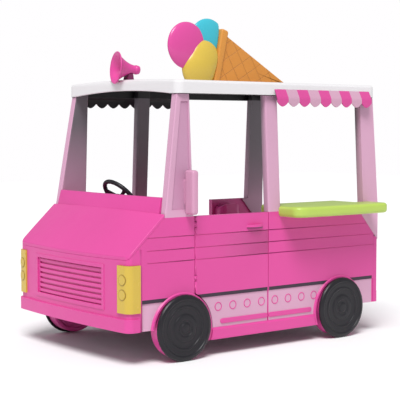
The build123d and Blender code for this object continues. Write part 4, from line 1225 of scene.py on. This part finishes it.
@dataclass
class Wheel:
    """A wheel with a black outer disc and a pink inner drum.

    Args:
        axle_y: distance of its axle from the middle.
        radius: its radius.
        outer_x: outer face.
        width: width of the black disc.
        edge: bevel between its tread and its back.
        shoulder: corners from the tread to the face, as distance inside the radius and height.
        face: corners of the face's rings, as shares of the radius and heights.
        dome: height of the face at its middle.
        lugs: shallow notches round the tread.
        lug_depth: their depth.
        bore: radius of the hole for the axle.
        bore_end: how far that hole's blind end lies behind the outer face.
        drum_width: width of the drum.
        drum_radius: radius of the drum.
        drum_rim: width of the rim round its dish.
        drum_hub: radius of its hub.
        dish: depth of its dish.
        ribs: ribs in its dish.
        rib_height: their height.
    """

    axle_y: float = 0.4507
    radius: float = 0.138
    outer_x: float = 0.459
    width: float = 0.019
    edge: float = 0.003
    shoulder: tuple = ((0.0, -0.010), (0.006, -0.003), (0.017, 0.0))
    face: tuple = (
        (0.855, -0.0006),
        (0.835, -0.0045),
        (0.79, -0.0042),
        (0.69, -0.0058),
        (0.67, -0.0030),
        (0.625, -0.0030),
        (0.605, -0.0066),
        (0.43, -0.0078),
        (0.40, -0.0038),
        (0.27, -0.0026),
        (0.25, -0.0058),
        (0.17, -0.0058),
        (0.14, -0.0014),
    )
    dome: float = -0.0004
    lugs: int = 36
    lug_depth: float = 0.0012
    bore: float = 0.0086
    bore_end: float = 0.0115
    drum_width: float = 0.0567
    drum_radius: float = 0.128
    drum_rim: float = 0.014
    drum_hub: float = 0.026
    dish: float = 0.007
    ribs: int = 10
    rib_height: float = 0.0045

    def disc(self) -> Surface:
        """The black disc: a lathed path from the axle's hole over tread and rings to the middle.

        The lugs are where the cosine of the angle times their number nears 1.

        Returns:
            The surface about its own axle, outer side up.
        """
        r = self.radius
        corners = [
            (0.0, -self.bore_end),
            (self.bore, -self.bore_end),
            (self.bore, -self.width),
            (r - self.edge, -self.width),
            (r, -self.width + self.edge),
            *((r - inwards, z) for inwards, z in self.shoulder),
            *((r * share, z) for share, z in self.face),
            (0.0, self.dome),
        ]
        path = rounded_path(corners, 0.0026)
        path[[0, -1], 0] = 0.0
        body = lathe(path, self.lugs * 6)
        angle = np.arctan2(body.points[:, 1], body.points[:, 0])
        reach = np.hypot(body.points[:, 0], body.points[:, 1])
        notch = np.clip(np.cos(angle * self.lugs) * 4 - 2.6, 0, 1)
        on_tread = np.clip((reach - (r - 0.002)) / 0.002, 0, 1)
        on_tread *= body.points[:, 2] < -0.007
        shrink = 1 - self.lug_depth * notch * on_tread / np.maximum(reach, 1e-6)
        body.points[:, :2] *= shrink[:, None]
        return body

    def drum(self) -> Surface:
        """The pink drum: a lathed path with a dished inner face between rim and hub, ribbed like a star.

        Returns:
            The surface about its own axle, outer side up.
        """
        top, base = -self.width - 0.0003, -self.width - 0.0003 - self.drum_width
        rim, soft = self.drum_radius - self.drum_rim, 0.004
        corners = [
            (self.bore, top),
            (self.bore, base),
            (self.drum_hub, base),
            (self.drum_hub + 2 * soft, base + self.dish),
            (rim - 1.5 * soft, base + self.dish),
            (rim, base),
            (self.drum_radius - soft, base),
            (self.drum_radius, base + soft),
            (self.drum_radius, top),
        ]
        path = rounded_path(corners, 0.003, closed=True)
        body = lathe(np.vstack([path, path[:1]]), 120)
        angle = np.arctan2(body.points[:, 1], body.points[:, 0])
        reach = np.hypot(body.points[:, 0], body.points[:, 1])
        rib = np.clip(np.cos(angle * self.ribs) * 6 - 4.6, 0, 1)
        rise = np.clip((reach - self.drum_hub - 3 * soft) / soft, 0, 1)
        fall = np.clip((rim - 2 * soft - reach) / soft, 0, 1)
        near_base = body.points[:, 2] < base + self.dish + 0.0015
        body.points[:, 2] -= self.rib_height * rib * rise * fall * near_base
        return body

    def build(self, palette: Palette) -> None:
        """Makes all four wheels.

        Args:
            palette: the finishes.
        """
        for end, y in (("front", -self.axle_y), ("rear", self.axle_y)):
            for side in ("left", "right"):
                body = Body(f"{end}_{side}_wheel")
                place = (self.outer_x, y, self.radius)
                for part, shape, finish, slot in (
                    ("disc", self.disc(), "black_moulded", Slot.BLACK),
                    ("drum", self.drum(), "pink_moulded", Slot.PINK),
                ):
                    surface = shape.placed(place, *ON_LEFT_SIDE)
                    surface = surface if side == "left" else surface.mirrored()
                    add_piece(
                        f"{end}_{side}_{part}",
                        surface,
                        [palette[finish]],
                        body,
                        (f"{end}_{side}_wheel_{part}",),
                    )


@dataclass
class Axles:
    """Two fixed steel axles with rounded ends.

    Args:
        ys: places of the axles.
        z: their height.
        half: half their length.
        radius: their radius.
    """

    ys: tuple[float, float] = (-0.4507, 0.4507)
    z: float = 0.138
    half: float = 0.445
    radius: float = 0.008

    def build(self, palette: Palette) -> None:
        """Makes both axles.

        Args:
            palette: the finishes.
        """
        end, side, bevel = self.half, self.radius, 0.0015
        quarter = [(side, end - bevel), (side - bevel, end), (0.0, end)]
        corners = [(x, -y) for x, y in quarter[::-1]] + quarter
        path = rounded_path(corners, 0.0008, 3)
        for name, y in zip(("front_axle", "rear_axle"), self.ys):
            bar = lathe(path, 32).placed((0, y, self.z), *ON_LEFT_SIDE)
            add_piece(f"{name}_bar", bar, [palette["axle_bar"]], Body.TRUCK, (name,))


@dataclass
class Awnings:
    """Two striped awnings with scalloped hems, with painted shade in near-black underneath.

    Args:
        root_x: where they leave the roof's side.
        outer_x: outer face of the hanging part.
        top_z: height of the root.
        fold_z: height of the fold.
        fold_radius: how far the fold is cut back.
        cusp_z: height of the cusps.
        depth: depth of a scallop below the cusps.
        pitch: width of a stripe.
        stripes: number of stripes.
        left_y: front end on the left.
        right_y: front end on the right.
        thickness: of the sheet.
    """

    root_x: float = 0.4204
    outer_x: float = 0.440
    top_z: float = 1.126
    fold_z: float = 1.089
    fold_radius: float = 0.008
    cusp_z: float = 1.072
    depth: float = 0.020
    pitch: float = 0.065
    stripes: int = 9
    left_y: float = 0.062
    right_y: float = -0.432
    thickness: float = 0.0035

    def stripe(self, start: float) -> Surface:
        """One stripe: a rounded profile carried along y, its hem dropping nearly as a sine.

        Args:
            start: its front end.

        Returns:
            The closed surface.
        """
        share = np.linspace(0, 1, 21)
        hem = self.cusp_z - self.depth * np.sin(np.pi * share) ** 0.95
        corners = [(self.root_x, self.top_z), (self.outer_x, self.fold_z), (self.outer_x, self.cusp_z)]
        upper = rounded_path(corners, self.fold_radius, 7)
        drop = np.linspace(0, 1, 6)[1:]
        x = np.concatenate([upper[:, 0], np.full_like(drop, self.outer_x)])
        z = np.vstack([upper[:, 1:] + 0 * share, self.cusp_z + np.outer(drop, hem - self.cusp_z)])
        x = np.repeat(x[:, None], len(share), axis=1)
        y = np.repeat((start + share * self.pitch)[None, :], len(x), axis=0)
        behind, below = self.thickness, 0.4 * self.thickness
        outer = np.stack([x, y, z], axis=-1)
        inner = np.stack([np.maximum(x - behind, self.root_x), y, z - below], axis=-1)
        return wall_between(outer, inner, (0, 1, 0))

    def build(self, palette: Palette) -> None:
        """Makes both awnings.

        Args:
            palette: the finishes.
        """
        for first, name, finish, slot in (
            (0, "dark", "awning_pink", Slot.PINK),
            (1, "pale", "awning_pale", Slot.PALE),
        ):
            parts = []
            for number in range(first, self.stripes, 2):
                parts.append(self.stripe(self.left_y + number * self.pitch))
                parts.append(self.stripe(self.right_y + number * self.pitch).mirrored())
            # painted shade: the awnings' inner faces are near-black
            materials = [palette[finish], palette["painted_deep_shade"]]
            node = (f"awning_{name}_stripes",)
            add_piece(f"awning_{name}", Surface.join(*parts), materials, Body.TRUCK, node)


@dataclass
class Counter:
    """Green serving counter with rounded rims, bowed outwards, through the left window.

    Args:
        z_low: underside.
        z_high: top.
        inner_x: inner edge.
        joint_x: outer face of the wall.
        outer_x: outer edge at its middle.
        bow: how far the ends lie inside the middle.
        y_ends: ends of the outer part.
        corners: radius of the outer part's front and rear corner.
        y_window: ends of the inner part.
        inner_corner: how far the inner part's corners are cut back.
        rim: radius of the rims.
    """

    z_low: float = 0.571
    z_high: float = 0.617
    inner_x: float = 0.280
    joint_x: float = 0.4303
    outer_x: float = 0.566
    bow: float = 0.008
    y_ends: tuple[float, float] = (0.080, 0.641)
    corners: tuple[float, float] = (0.046, 0.020)
    y_window: tuple[float, float] = (0.098, 0.558)
    inner_corner: float = 0.023
    rim: float = 0.0145

    def outline(self) -> np.ndarray:
        """Plan of the counter, anticlockwise, with a parabolic outer edge.

        Returns:
            The outline.
        """
        middle, half = sum(self.y_ends) / 2, (self.y_ends[1] - self.y_ends[0]) / 2
        y = np.linspace(self.y_ends[0] + self.corners[0], self.y_ends[1] - self.corners[1], 25)
        bowed = np.column_stack([self.outer_x - self.bow * ((y - middle) / half) ** 2, y])
        edge = self.outer_x - self.bow
        turn = np.linspace(0, np.pi / 2, 10)[:-1]
        front, rear = (
            np.column_stack([edge - r + r * np.sin(turn), end + sign * (r - r * np.cos(turn))])
            for r, end, sign in zip(self.corners, self.y_ends, (1.0, -1.0))
        )
        front = np.vstack([[self.joint_x, self.y_ends[0]], front])
        rear = np.vstack([rear[::-1], [self.joint_x, self.y_ends[1]]])
        front_y, rear_y = self.y_window
        corners = [
            (self.joint_x, rear_y),
            (self.inner_x, rear_y),
            (self.inner_x, front_y),
            (self.joint_x, front_y),
        ]
        inner = rounded_path(corners, self.inner_corner, 9)
        return np.vstack([front, bowed, rear, inner])

    def build(self, palette: Palette) -> None:
        """Makes the counter.

        Args:
            palette: the finishes.
        """
        plate = slab(self.outline(), self.z_low, self.z_high, self.rim, 7)
        green = [palette["green_moulded"]]
        add_piece("serving_counter", plate, green, Body.TRUCK, ("counter",))


@dataclass
class Mirrors:
    """Tall rounded mirror housings with a foot on the pillar and a bright film face.

    Args:
        x: inner and outer side.
        y: front and rear.
        z: lower and upper end.
        corner: radius of the corners.
        rim: radius of the edges.
        foot_x: inner and outer end of the foot.
        foot_z: heights of the foot.
        foot_inset: how much thinner the foot is on each side.
        film_inset: frame left round the film, at its sides and ends.
        film_proud: how far the film stands out.
    """

    x: tuple[float, float] = (0.4303, 0.488)
    y: tuple[float, float] = (-0.438, -0.407)
    z: tuple[float, float] = (0.604, 0.786)
    corner: float = 0.013
    rim: float = 0.0095
    foot_x: tuple[float, float] = (0.405, 0.455)
    foot_z: tuple[float, float] = (0.643, 0.747)
    foot_inset: float = 0.006
    film_inset: tuple[float, float] = (0.010, 0.011)
    film_proud: float = 0.001

    def build(self, palette: Palette) -> None:
        """Makes both mirrors.

        Args:
            palette: the finishes.
        """
        facing_front = ((1, 0, 0), (0, -1, 0))
        width, height, deep = (ends[1] - ends[0] for ends in (self.x, self.z, self.y))
        place = (sum(self.x) / 2, self.y[1], sum(self.z) / 2)
        housing = slab(rounded_rectangle(width, height, self.corner), 0.0, deep, self.rim, 6)
        housing = housing.placed(place, *facing_front)
        inset_by = self.foot_inset
        outline = rounded_rectangle(
            self.foot_x[1] - self.foot_x[0], self.foot_z[1] - self.foot_z[0], inset_by
        )
        foot = slab(outline, inset_by, deep - inset_by, 0.004)
        foot = foot.placed((sum(self.foot_x) / 2, self.y[1], sum(self.foot_z) / 2), *facing_front)
        sides, ends = self.film_inset
        outline = rounded_rectangle(width - 2 * sides, height - 2 * ends, 0.008)
        film = slab(outline, -1.2 * self.film_proud, self.film_proud, 0.0004, 2)
        film = film.placed(place, *facing_front)
        shell = Surface.join(housing, foot)
        shells, films = Surface.join(shell, shell.mirrored()), Surface.join(film, film.mirrored())
        pale, bright = [palette["mirror_moulded"]], [palette["mirror_film"]]
        add_piece("mirror_housings", shells, pale, Body.TRUCK, ("mirrors",))
        add_piece("mirror_faces", films, bright, Body.TRUCK)


@dataclass
class Steering:
    """Black steering wheel with three flat spokes, and its column.

    Args:
        centre: middle of the rim.
        tilt: degrees of the rim's plane from upright.
        radius: radius of the rim's middle line.
        tube: radius of the rim's tube.
        hub_radius: of the hub.
        hub_height: of the hub.
        spokes: their directions in degrees.
        spoke: width, thickness and edge radius of a spoke at its middle.
        spoke_z: height of the spokes' middle.
        column_radius: of the column.
        column_length: of the column that shows.
    """

    centre: tuple[float, float, float] = (-0.110, -0.385, 0.650)
    tilt: float = 41.0
    radius: float = 0.092
    tube: float = 0.0105
    hub_radius: float = 0.024
    hub_height: float = 0.022
    spokes: tuple[float, ...] = (90.0, 210.0, 330.0)
    spoke: tuple[float, float, float] = (0.017, 0.008, 0.0036)
    spoke_z: float = -0.0045
    column_radius: float = 0.014
    column_length: float = 0.052

    def frame(self) -> tuple:
        """Place and axes of the rim.

        Returns:
            Origin, x direction and z direction.
        """
        tilt = math.radians(self.tilt)
        return self.centre, (1.0, 0.0, 0.0), (0.0, math.cos(tilt), math.sin(tilt))

    def wheel(self) -> Surface:
        """Rim: a ring with cosine waves on its inner side. Spokes widen at both ends by a fourth power.

        Returns:
            The surface in its own axes.
        """
        around = np.linspace(0, 2 * np.pi, 120, endpoint=False)
        across = np.linspace(0, 2 * np.pi, 20, endpoint=False)
        wave = 0.0006 * np.cos(around * 24)[:, None] * np.clip(-np.cos(across), 0, 1)[None, :]
        tube = self.tube + wave - 0.0006
        reach = self.radius + tube * np.cos(across)
        x, y = reach * np.cos(around)[:, None], reach * np.sin(around)[:, None]
        rim = Surface.grid(np.stack([x, y, tube * np.sin(across)], axis=-1), around=True, along=True)
        corners = [
            (0.0, -self.hub_height),
            (self.hub_radius, -self.hub_height),
            (self.hub_radius, -0.005),
            (self.hub_radius - 0.006, 0.0),
            (self.hub_radius * 0.6, 0.0),
            (self.hub_radius * 0.5, -0.0025),
            (0.0, -0.0015),
        ]
        parts = [rim, lathe(rounded_path(corners, 0.004), 64)]
        share = np.linspace(0, 1, 15)
        width = 1 + 0.55 * (2 * share - 1) ** 4
        section = rounded_rectangle(*self.spoke)
        for angle in np.radians(self.spokes):
            away = 0.014 + share * (self.radius - 0.016)
            height = np.full_like(share, self.spoke_z)
            path = np.column_stack([away * np.cos(angle), away * np.sin(angle), height])
            size = np.column_stack([width, np.ones_like(width)])
            parts.append(sweep(path, section, (0, 0, 1), size))
        return Surface.join(*parts)

    def build(self, palette: Palette) -> None:
        """Makes the wheel and its column.

        Args:
            palette: the finishes.
        """
        black = [palette["black_moulded"]]
        wheel = self.wheel().placed(*self.frame())
        add_piece("steering_rim", wheel, black, Body.STEERING, ("steering_wheel",))
        top, radius = -self.hub_height - 0.002, self.column_radius
        corners = [
            (0.0, top - self.column_length),
            (radius, top - self.column_length),
            (radius, top - 0.014),
            (radius - 0.002, top - 0.012),
            (radius, top - 0.010),
            (radius, top),
            (0.0, top),
        ]
        column = lathe(rounded_path(corners, 0.001, 3), 40).placed(*self.frame())
        add_piece("column", column, black, Body.TRUCK, ("steering_column",))


@dataclass(frozen=True)
class Lump:
    """One ball of a scoop.

    Args:
        centre: its middle.
        half_thickness: half its thickness in x.
        radius: its radius in the sign's plane.
    """

    centre: tuple[float, float, float]
    half_thickness: float
    radius: float

    def reach(self, middle: np.ndarray, way: np.ndarray) -> np.ndarray:
        """How far the circle's far side lies from a point along each direction.

        Args:
            middle: y and z of the point.
            way: directions, (n, 2).

        Returns:
            The distances, 0 where a direction misses the circle.
        """
        to_centre = np.array(self.centre[1:]) - middle
        along = way @ to_centre
        inside = along**2 - to_centre @ to_centre + self.radius**2
        return np.where(inside > 0, along + np.sqrt(np.maximum(inside, 0)), 0.0)


@dataclass(frozen=True)
class Scoop:
    """One scoop of the sign.

    Args:
        node: the CAD node.
        finish: its material.
        slot: its slot; not used.
        lumps: its flattened balls.
    """

    node: str
    finish: str
    slot: Slot
    lumps: tuple[Lump, ...]

    def surface(self, foot: tuple[float, float], lean: float, floor: float) -> Surface:
        """A pillow: its outline runs round all its lumps, its thickness falls as a circle's arc.

        The outline's reach in each direction is a smooth maximum of the lumps' reaches: the 14th root
        of the sum of their 14th powers. Points past the collar's front or below the roof are pressed
        back onto it.

        Args:
            foot: y and z of the collar's foot.
            lean: change of y with z along the collar's front.
            floor: height where it sits in the roof.

        Returns:
            The surface.
        """
        centres = np.array([lump.centre for lump in self.lumps])
        middle = centres.mean(axis=0)
        half = max(lump.half_thickness for lump in self.lumps)
        angle = np.linspace(0, 2 * np.pi, 144, endpoint=False)
        way = np.column_stack([np.cos(angle), np.sin(angle)])
        reaches = np.stack([lump.reach(middle[1:], way) for lump in self.lumps])
        power = 14.0
        outline = np.sum(reaches**power, axis=0) ** (1 / power)
        turn = np.linspace(-np.pi / 2, np.pi / 2, 65)
        share = np.cos(turn)
        share[[0, -1]] = 0.0
        yz = middle[1:] + share[:, None, None] * (outline[:, None] * way)[None]
        x = middle[0] + np.repeat((np.sin(turn) * half)[:, None], len(angle), axis=1)
        past = yz[..., 0] - (foot[0] + (yz[..., 1] - foot[1]) * lean) + 0.002
        yz[..., 0] -= np.clip(past, 0, None)
        yz[..., 1] = np.maximum(yz[..., 1], floor)
        return Surface.grid(np.concatenate([x[..., None], yz], axis=-1), around=True)


@dataclass
class IceCreamSign:
    """The roof sign: a flat waffle cone on its side, its raised collar and three puffed scoops.

    Args:
        roof_z: top of the roof.
        cone: side outline of the cone in y and z.
        cone_half: half the cone's thickness.
        collar: side outline of the collar in y and z.
        collar_half: half the collar's thickness.
        edge: radius of the round edges.
        pitch: spacing of the waffle's lines.
        pattern_turn: degrees the lines are turned from y.
        scoops: the scoops.
    """

    roof_z: float = 1.166
    cone: tuple = ((0.060, 1.160), (0.486, 1.160), (0.496, 1.163), (0.100, 1.392))
    cone_half: float = 0.030
    collar: tuple = ((0.0322, 1.160), (0.0665, 1.160), (0.122, 1.403), (0.082, 1.416))
    collar_half: float = 0.038
    edge: float = 0.009
    pitch: float = 0.060
    pattern_turn: float = 30.0
    scoops: tuple[Scoop, ...] = (
        Scoop(
            "scoop_yellow",
            "scoop_yellow_moulded",
            Slot.YELLOW,
            (Lump((0.014, -0.009, 1.274), 0.045, 0.086), Lump((0.005, -0.036, 1.226), 0.039, 0.090)),
        ),
        Scoop(
            "scoop_pink", "scoop_pink_moulded", Slot.PINK, (Lump((0.006, -0.102, 1.331), 0.027, 0.106),)
        ),
        Scoop(
            "scoop_blue", "scoop_blue_moulded", Slot.BLUE, (Lump((-0.003, 0.026, 1.358), 0.025, 0.101),)
        ),
    )

    def plate(self, corners: tuple, half: float, corner: float) -> Surface:
        """A flat plate in the sign's plane with round corners and edges.

        The pattern map is y and z turned by pattern_turn and divided by the pitch.

        Args:
            corners: its outline in y and z, anticlockwise.
            half: half its thickness.
            corner: radius of its corners.

        Returns:
            The surface.
        """
        quarter = np.linspace(0, np.pi / 2, 8)
        insets = self.edge * np.concatenate([1 - np.sin(quarter), 1 - np.cos(quarter)])
        lift = self.edge * (1 - np.cos(quarter))
        heights = np.concatenate([-half + lift, half - lift[::-1]])
        outlines = [
            rounded_path(offset_corners(np.array(corners), distance), corner, 7, closed=True)
            for distance in insets
        ]
        rings = [
            np.column_stack([outline, np.full(len(outline), x)])
            for outline, x in zip(outlines, heights)
        ]
        centre = rings[0].mean(axis=0) * [1, 1, 0]
        caps = [ring * [0, 0, 1] + centre for ring in (rings[0], rings[-1])]
        body = Surface.grid(np.stack([caps[0], *rings, caps[1]]), around=True)
        points = body.points[:, [2, 0, 1]]
        turn = math.radians(self.pattern_turn)
        along = points[:, 1] * math.cos(turn) + points[:, 2] * math.sin(turn)
        across = points[:, 2] * math.cos(turn) - points[:, 1] * math.sin(turn)
        flat = np.column_stack([along, across]) / self.pitch
        return Surface(points, body.quads, body.tags, flat)

    def build(self, palette: Palette) -> None:
        """Makes the sign.

        Args:
            palette: the finishes.
        """
        cone = self.plate(self.cone, self.cone_half, 0.006)
        add_piece("waffle_cone", cone, [palette["cone_moulded"]], Body.TRUCK, ("cone",))
        collar = self.plate(self.collar, self.collar_half, 0.012)
        add_piece("cone_collar", collar, [palette["collar_moulded"]], Body.TRUCK)
        foot = self.collar[0]
        lean = (self.collar[3][0] - foot[0]) / (self.collar[3][1] - foot[1])
        for scoop in self.scoops:
            add_piece(
                f"{scoop.node}_puff",
                scoop.surface(foot, lean, self.roof_z - 0.006),
                [palette[scoop.finish]],
                Body.TRUCK,
                (scoop.node,),
                angle=60.0,
            )


@dataclass
class Horn:
    """Toy loudspeaker: one lathed path over the cap, the flared bell, its bead and the plug inside.

    Args:
        mouth: middle of the mouth.
        yaw: degrees it points aside.
        pitch: degrees it points up.
        radius: of the mouth.
        throat: radius of the throat.
        bell: length of the bell.
        cap_radius: of the driver's cap.
        cap_length: of the cap.
        flare: power of the flare.
        wall: thickness of the bell.
        bead: radius of the bead round the mouth.
    """

    mouth: tuple[float, float, float] = (-0.014, -0.477, 1.220)
    yaw: float = 14.0
    pitch: float = 5.0
    radius: float = 0.071
    throat: float = 0.019
    bell: float = 0.089
    cap_radius: float = 0.021
    cap_length: float = 0.024
    flare: float = 1.75
    wall: float = 0.0045
    bead: float = 0.003

    def path(self) -> np.ndarray:
        """Half outline of the horn, the flare a power curve between throat and mouth.

        Returns:
            The path from the back of the cap to the plug's tip.
        """
        back = -self.bell - self.cap_length
        share = np.linspace(0, 1, 16)
        lip = self.radius - self.bead
        reach = self.throat + (lip - self.throat) * share**self.flare
        outside = np.column_stack([reach, -self.bell + self.bell * share])
        inside = np.column_stack([reach - self.wall, -self.bell + 0.004 + (self.bell - 0.003) * share])
        cap = rounded_path(
            [
                (0.0, back),
                (self.cap_radius * 0.82, back),
                (self.cap_radius, -self.bell - 0.006),
                (self.throat, -self.bell - 0.002),
                (self.throat, -self.bell + 0.002),
            ],
            0.007,
            7,
        )
        turn = np.linspace(-np.pi / 2, np.pi * 0.75, 9)
        bead = np.array([lip, -self.bead]) + self.bead * np.column_stack([np.cos(turn), np.sin(turn)])
        plug = rounded_path(
            [(0.0135, -self.bell + 0.005), (0.0075, -self.bell * 0.42), (0.0, -self.bell * 0.40)],
            0.004,
            5,
        )
        return np.vstack([cap, outside[1:-1], bead, inside[:-1][::-1], plug])

    def build(self, palette: Palette) -> None:
        """Makes the horn.

        Args:
            palette: the finishes.
        """
        yaw, pitch = math.radians(self.yaw), math.radians(self.pitch)
        axis = (
            -math.sin(yaw) * math.cos(pitch),
            -math.cos(yaw) * math.cos(pitch),
            math.sin(pitch),
        )
        surface = lathe(self.path(), 96).placed(self.mouth, (math.cos(yaw), -math.sin(yaw), 0), axis)
        pink = [palette["pink_moulded"]]
        add_piece("toy_horn", surface, pink, Body.TRUCK, ("horn",), angle=50.0)


@dataclass
class Studio:
    """White studio: floor, one wide soft sun, background and the photo's camera.

    Args:
        eye: the camera's place in the row frame.
        yaw: degrees the camera is turned to the left of +Y.
        pitch: degrees it looks down.
        lens: focal length for a 36 mm sensor.
        floor_half: half the floor's side.
        sun_from: direction the sun comes from.
        sun_strength: watts on each square metre.
        sun_angle: how wide it is, in degrees.
        fill: strength of the background as a light.
    """

    eye: tuple[float, float, float] = (4.18016, -3.30400, 0.95752)
    yaw: float = 51.96
    pitch: float = 3.534
    lens: float = 104.846
    floor_half: float = 14.0
    sun_from: tuple[float, float, float] = (0.38, -0.36, 0.79)
    sun_strength: float = 2.9
    sun_angle: float = 26.0
    fill: float = 0.42

    def camera(self) -> None:
        """Adds the camera."""
        data = bpy.data.cameras.new("photo_camera")
        data.lens = self.lens
        data.sensor_width = 36.0
        data.clip_end = 60.0
        camera = bpy.data.objects.new("photo_camera", data)
        bpy.context.scene.collection.objects.link(camera)
        yaw, pitch = math.radians(self.yaw), math.radians(self.pitch)
        forward = Vector(
            (-math.sin(yaw) * math.cos(pitch), math.cos(yaw) * math.cos(pitch), -math.sin(pitch))
        )
        camera.location = self.eye
        camera.rotation_euler = forward.to_track_quat("-Z", "Y").to_euler()
        bpy.context.scene.camera = camera

    def floor(self) -> None:
        """Adds the pale floor."""
        corners = np.array([(-1, -1, 0), (1, -1, 0), (1, 1, 0), (-1, 1, 0)]) * self.floor_half
        mesh = bpy.data.meshes.new("studio_floor")
        mesh.from_pydata(corners.tolist(), [], [(0, 1, 2, 3)])
        material = bpy.data.materials.new("floor_paint")
        graph = Graph(material)
        shade = graph.spread(graph.noise(0.8, 2.0), 0.0, 0.01)
        graph.put(
            graph.shader.inputs["Base Color"],
            graph.mix(shade, (0.93, 0.925, 0.935, 1.0), (0.8, 0.8, 0.8, 1.0)),
        )
        graph.shader.inputs["Roughness"].default_value = 0.9
        graph.shader.inputs["Specular IOR Level"].default_value = 0.1
        mesh.materials.append(material)
        floor = bpy.data.objects.new("studio_floor", mesh)
        bpy.context.scene.collection.objects.link(floor)
        floor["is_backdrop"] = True

    def sun(self) -> None:
        """Adds the sun."""
        data = bpy.data.lights.new("key", "SUN")
        data.energy = self.sun_strength
        data.angle = math.radians(self.sun_angle)
        light = bpy.data.objects.new("key", data)
        light.location = self.sun_from
        light.rotation_euler = Vector(self.sun_from).to_track_quat("Z", "Y").to_euler()
        bpy.context.scene.collection.objects.link(light)
        light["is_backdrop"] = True

    def world(self) -> None:
        """Sets the background: white to the camera, less than half as bright as a light."""
        world = bpy.data.worlds.new("studio")
        bpy.context.scene.world = world
        world.use_nodes = True
        tree = world.node_tree
        tree.nodes.clear()
        output = tree.nodes.new("ShaderNodeOutputWorld")
        seen = tree.nodes.new("ShaderNodeBackground")
        lit = tree.nodes.new("ShaderNodeBackground")
        mix = tree.nodes.new("ShaderNodeMixShader")
        path = tree.nodes.new("ShaderNodeLightPath")
        seen.inputs[0].default_value = (1.0, 0.99, 1.0, 1.0)
        seen.inputs[1].default_value = 1.0
        lit.inputs[0].default_value = (0.99, 0.99, 1.0, 1.0)
        lit.inputs[1].default_value = self.fill
        tree.links.new(path.outputs["Is Camera Ray"], mix.inputs[0])
        tree.links.new(lit.outputs[0], mix.inputs[1])
        tree.links.new(seen.outputs[0], mix.inputs[2])
        tree.links.new(mix.outputs[0], output.inputs[0])

    def build(self) -> None:
        """Adds everything."""
        self.camera()
        self.floor()
        self.world()
        self.sun()
        bpy.context.scene.view_settings.view_transform = "Standard"


def write_size(label: str, sizes: dict) -> None:
    """Args:
        label: when it was measured.
        sizes: boxes so far, by label.
    """
    low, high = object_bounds()
    sizes[label] = [list(low), list(high)]


def main() -> None:
    """Builds the scene in order."""
    logging.basicConfig(level=logging.INFO, format="%(message)s")
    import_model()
    sizes: dict = {}
    write_size("start", sizes)
    palette = Palette()
    palette.build()
    LOG.info("materials ready")
    for part in (Shell, Trim, Wheel, Axles, Awnings, Counter, Mirrors, Steering, IceCreamSign, Horn):
        part().build(palette)
        LOG.info("built %s", part.__name__)
    Studio().build()
    write_size("end", sizes)


if __name__ == "__main__":
    main()
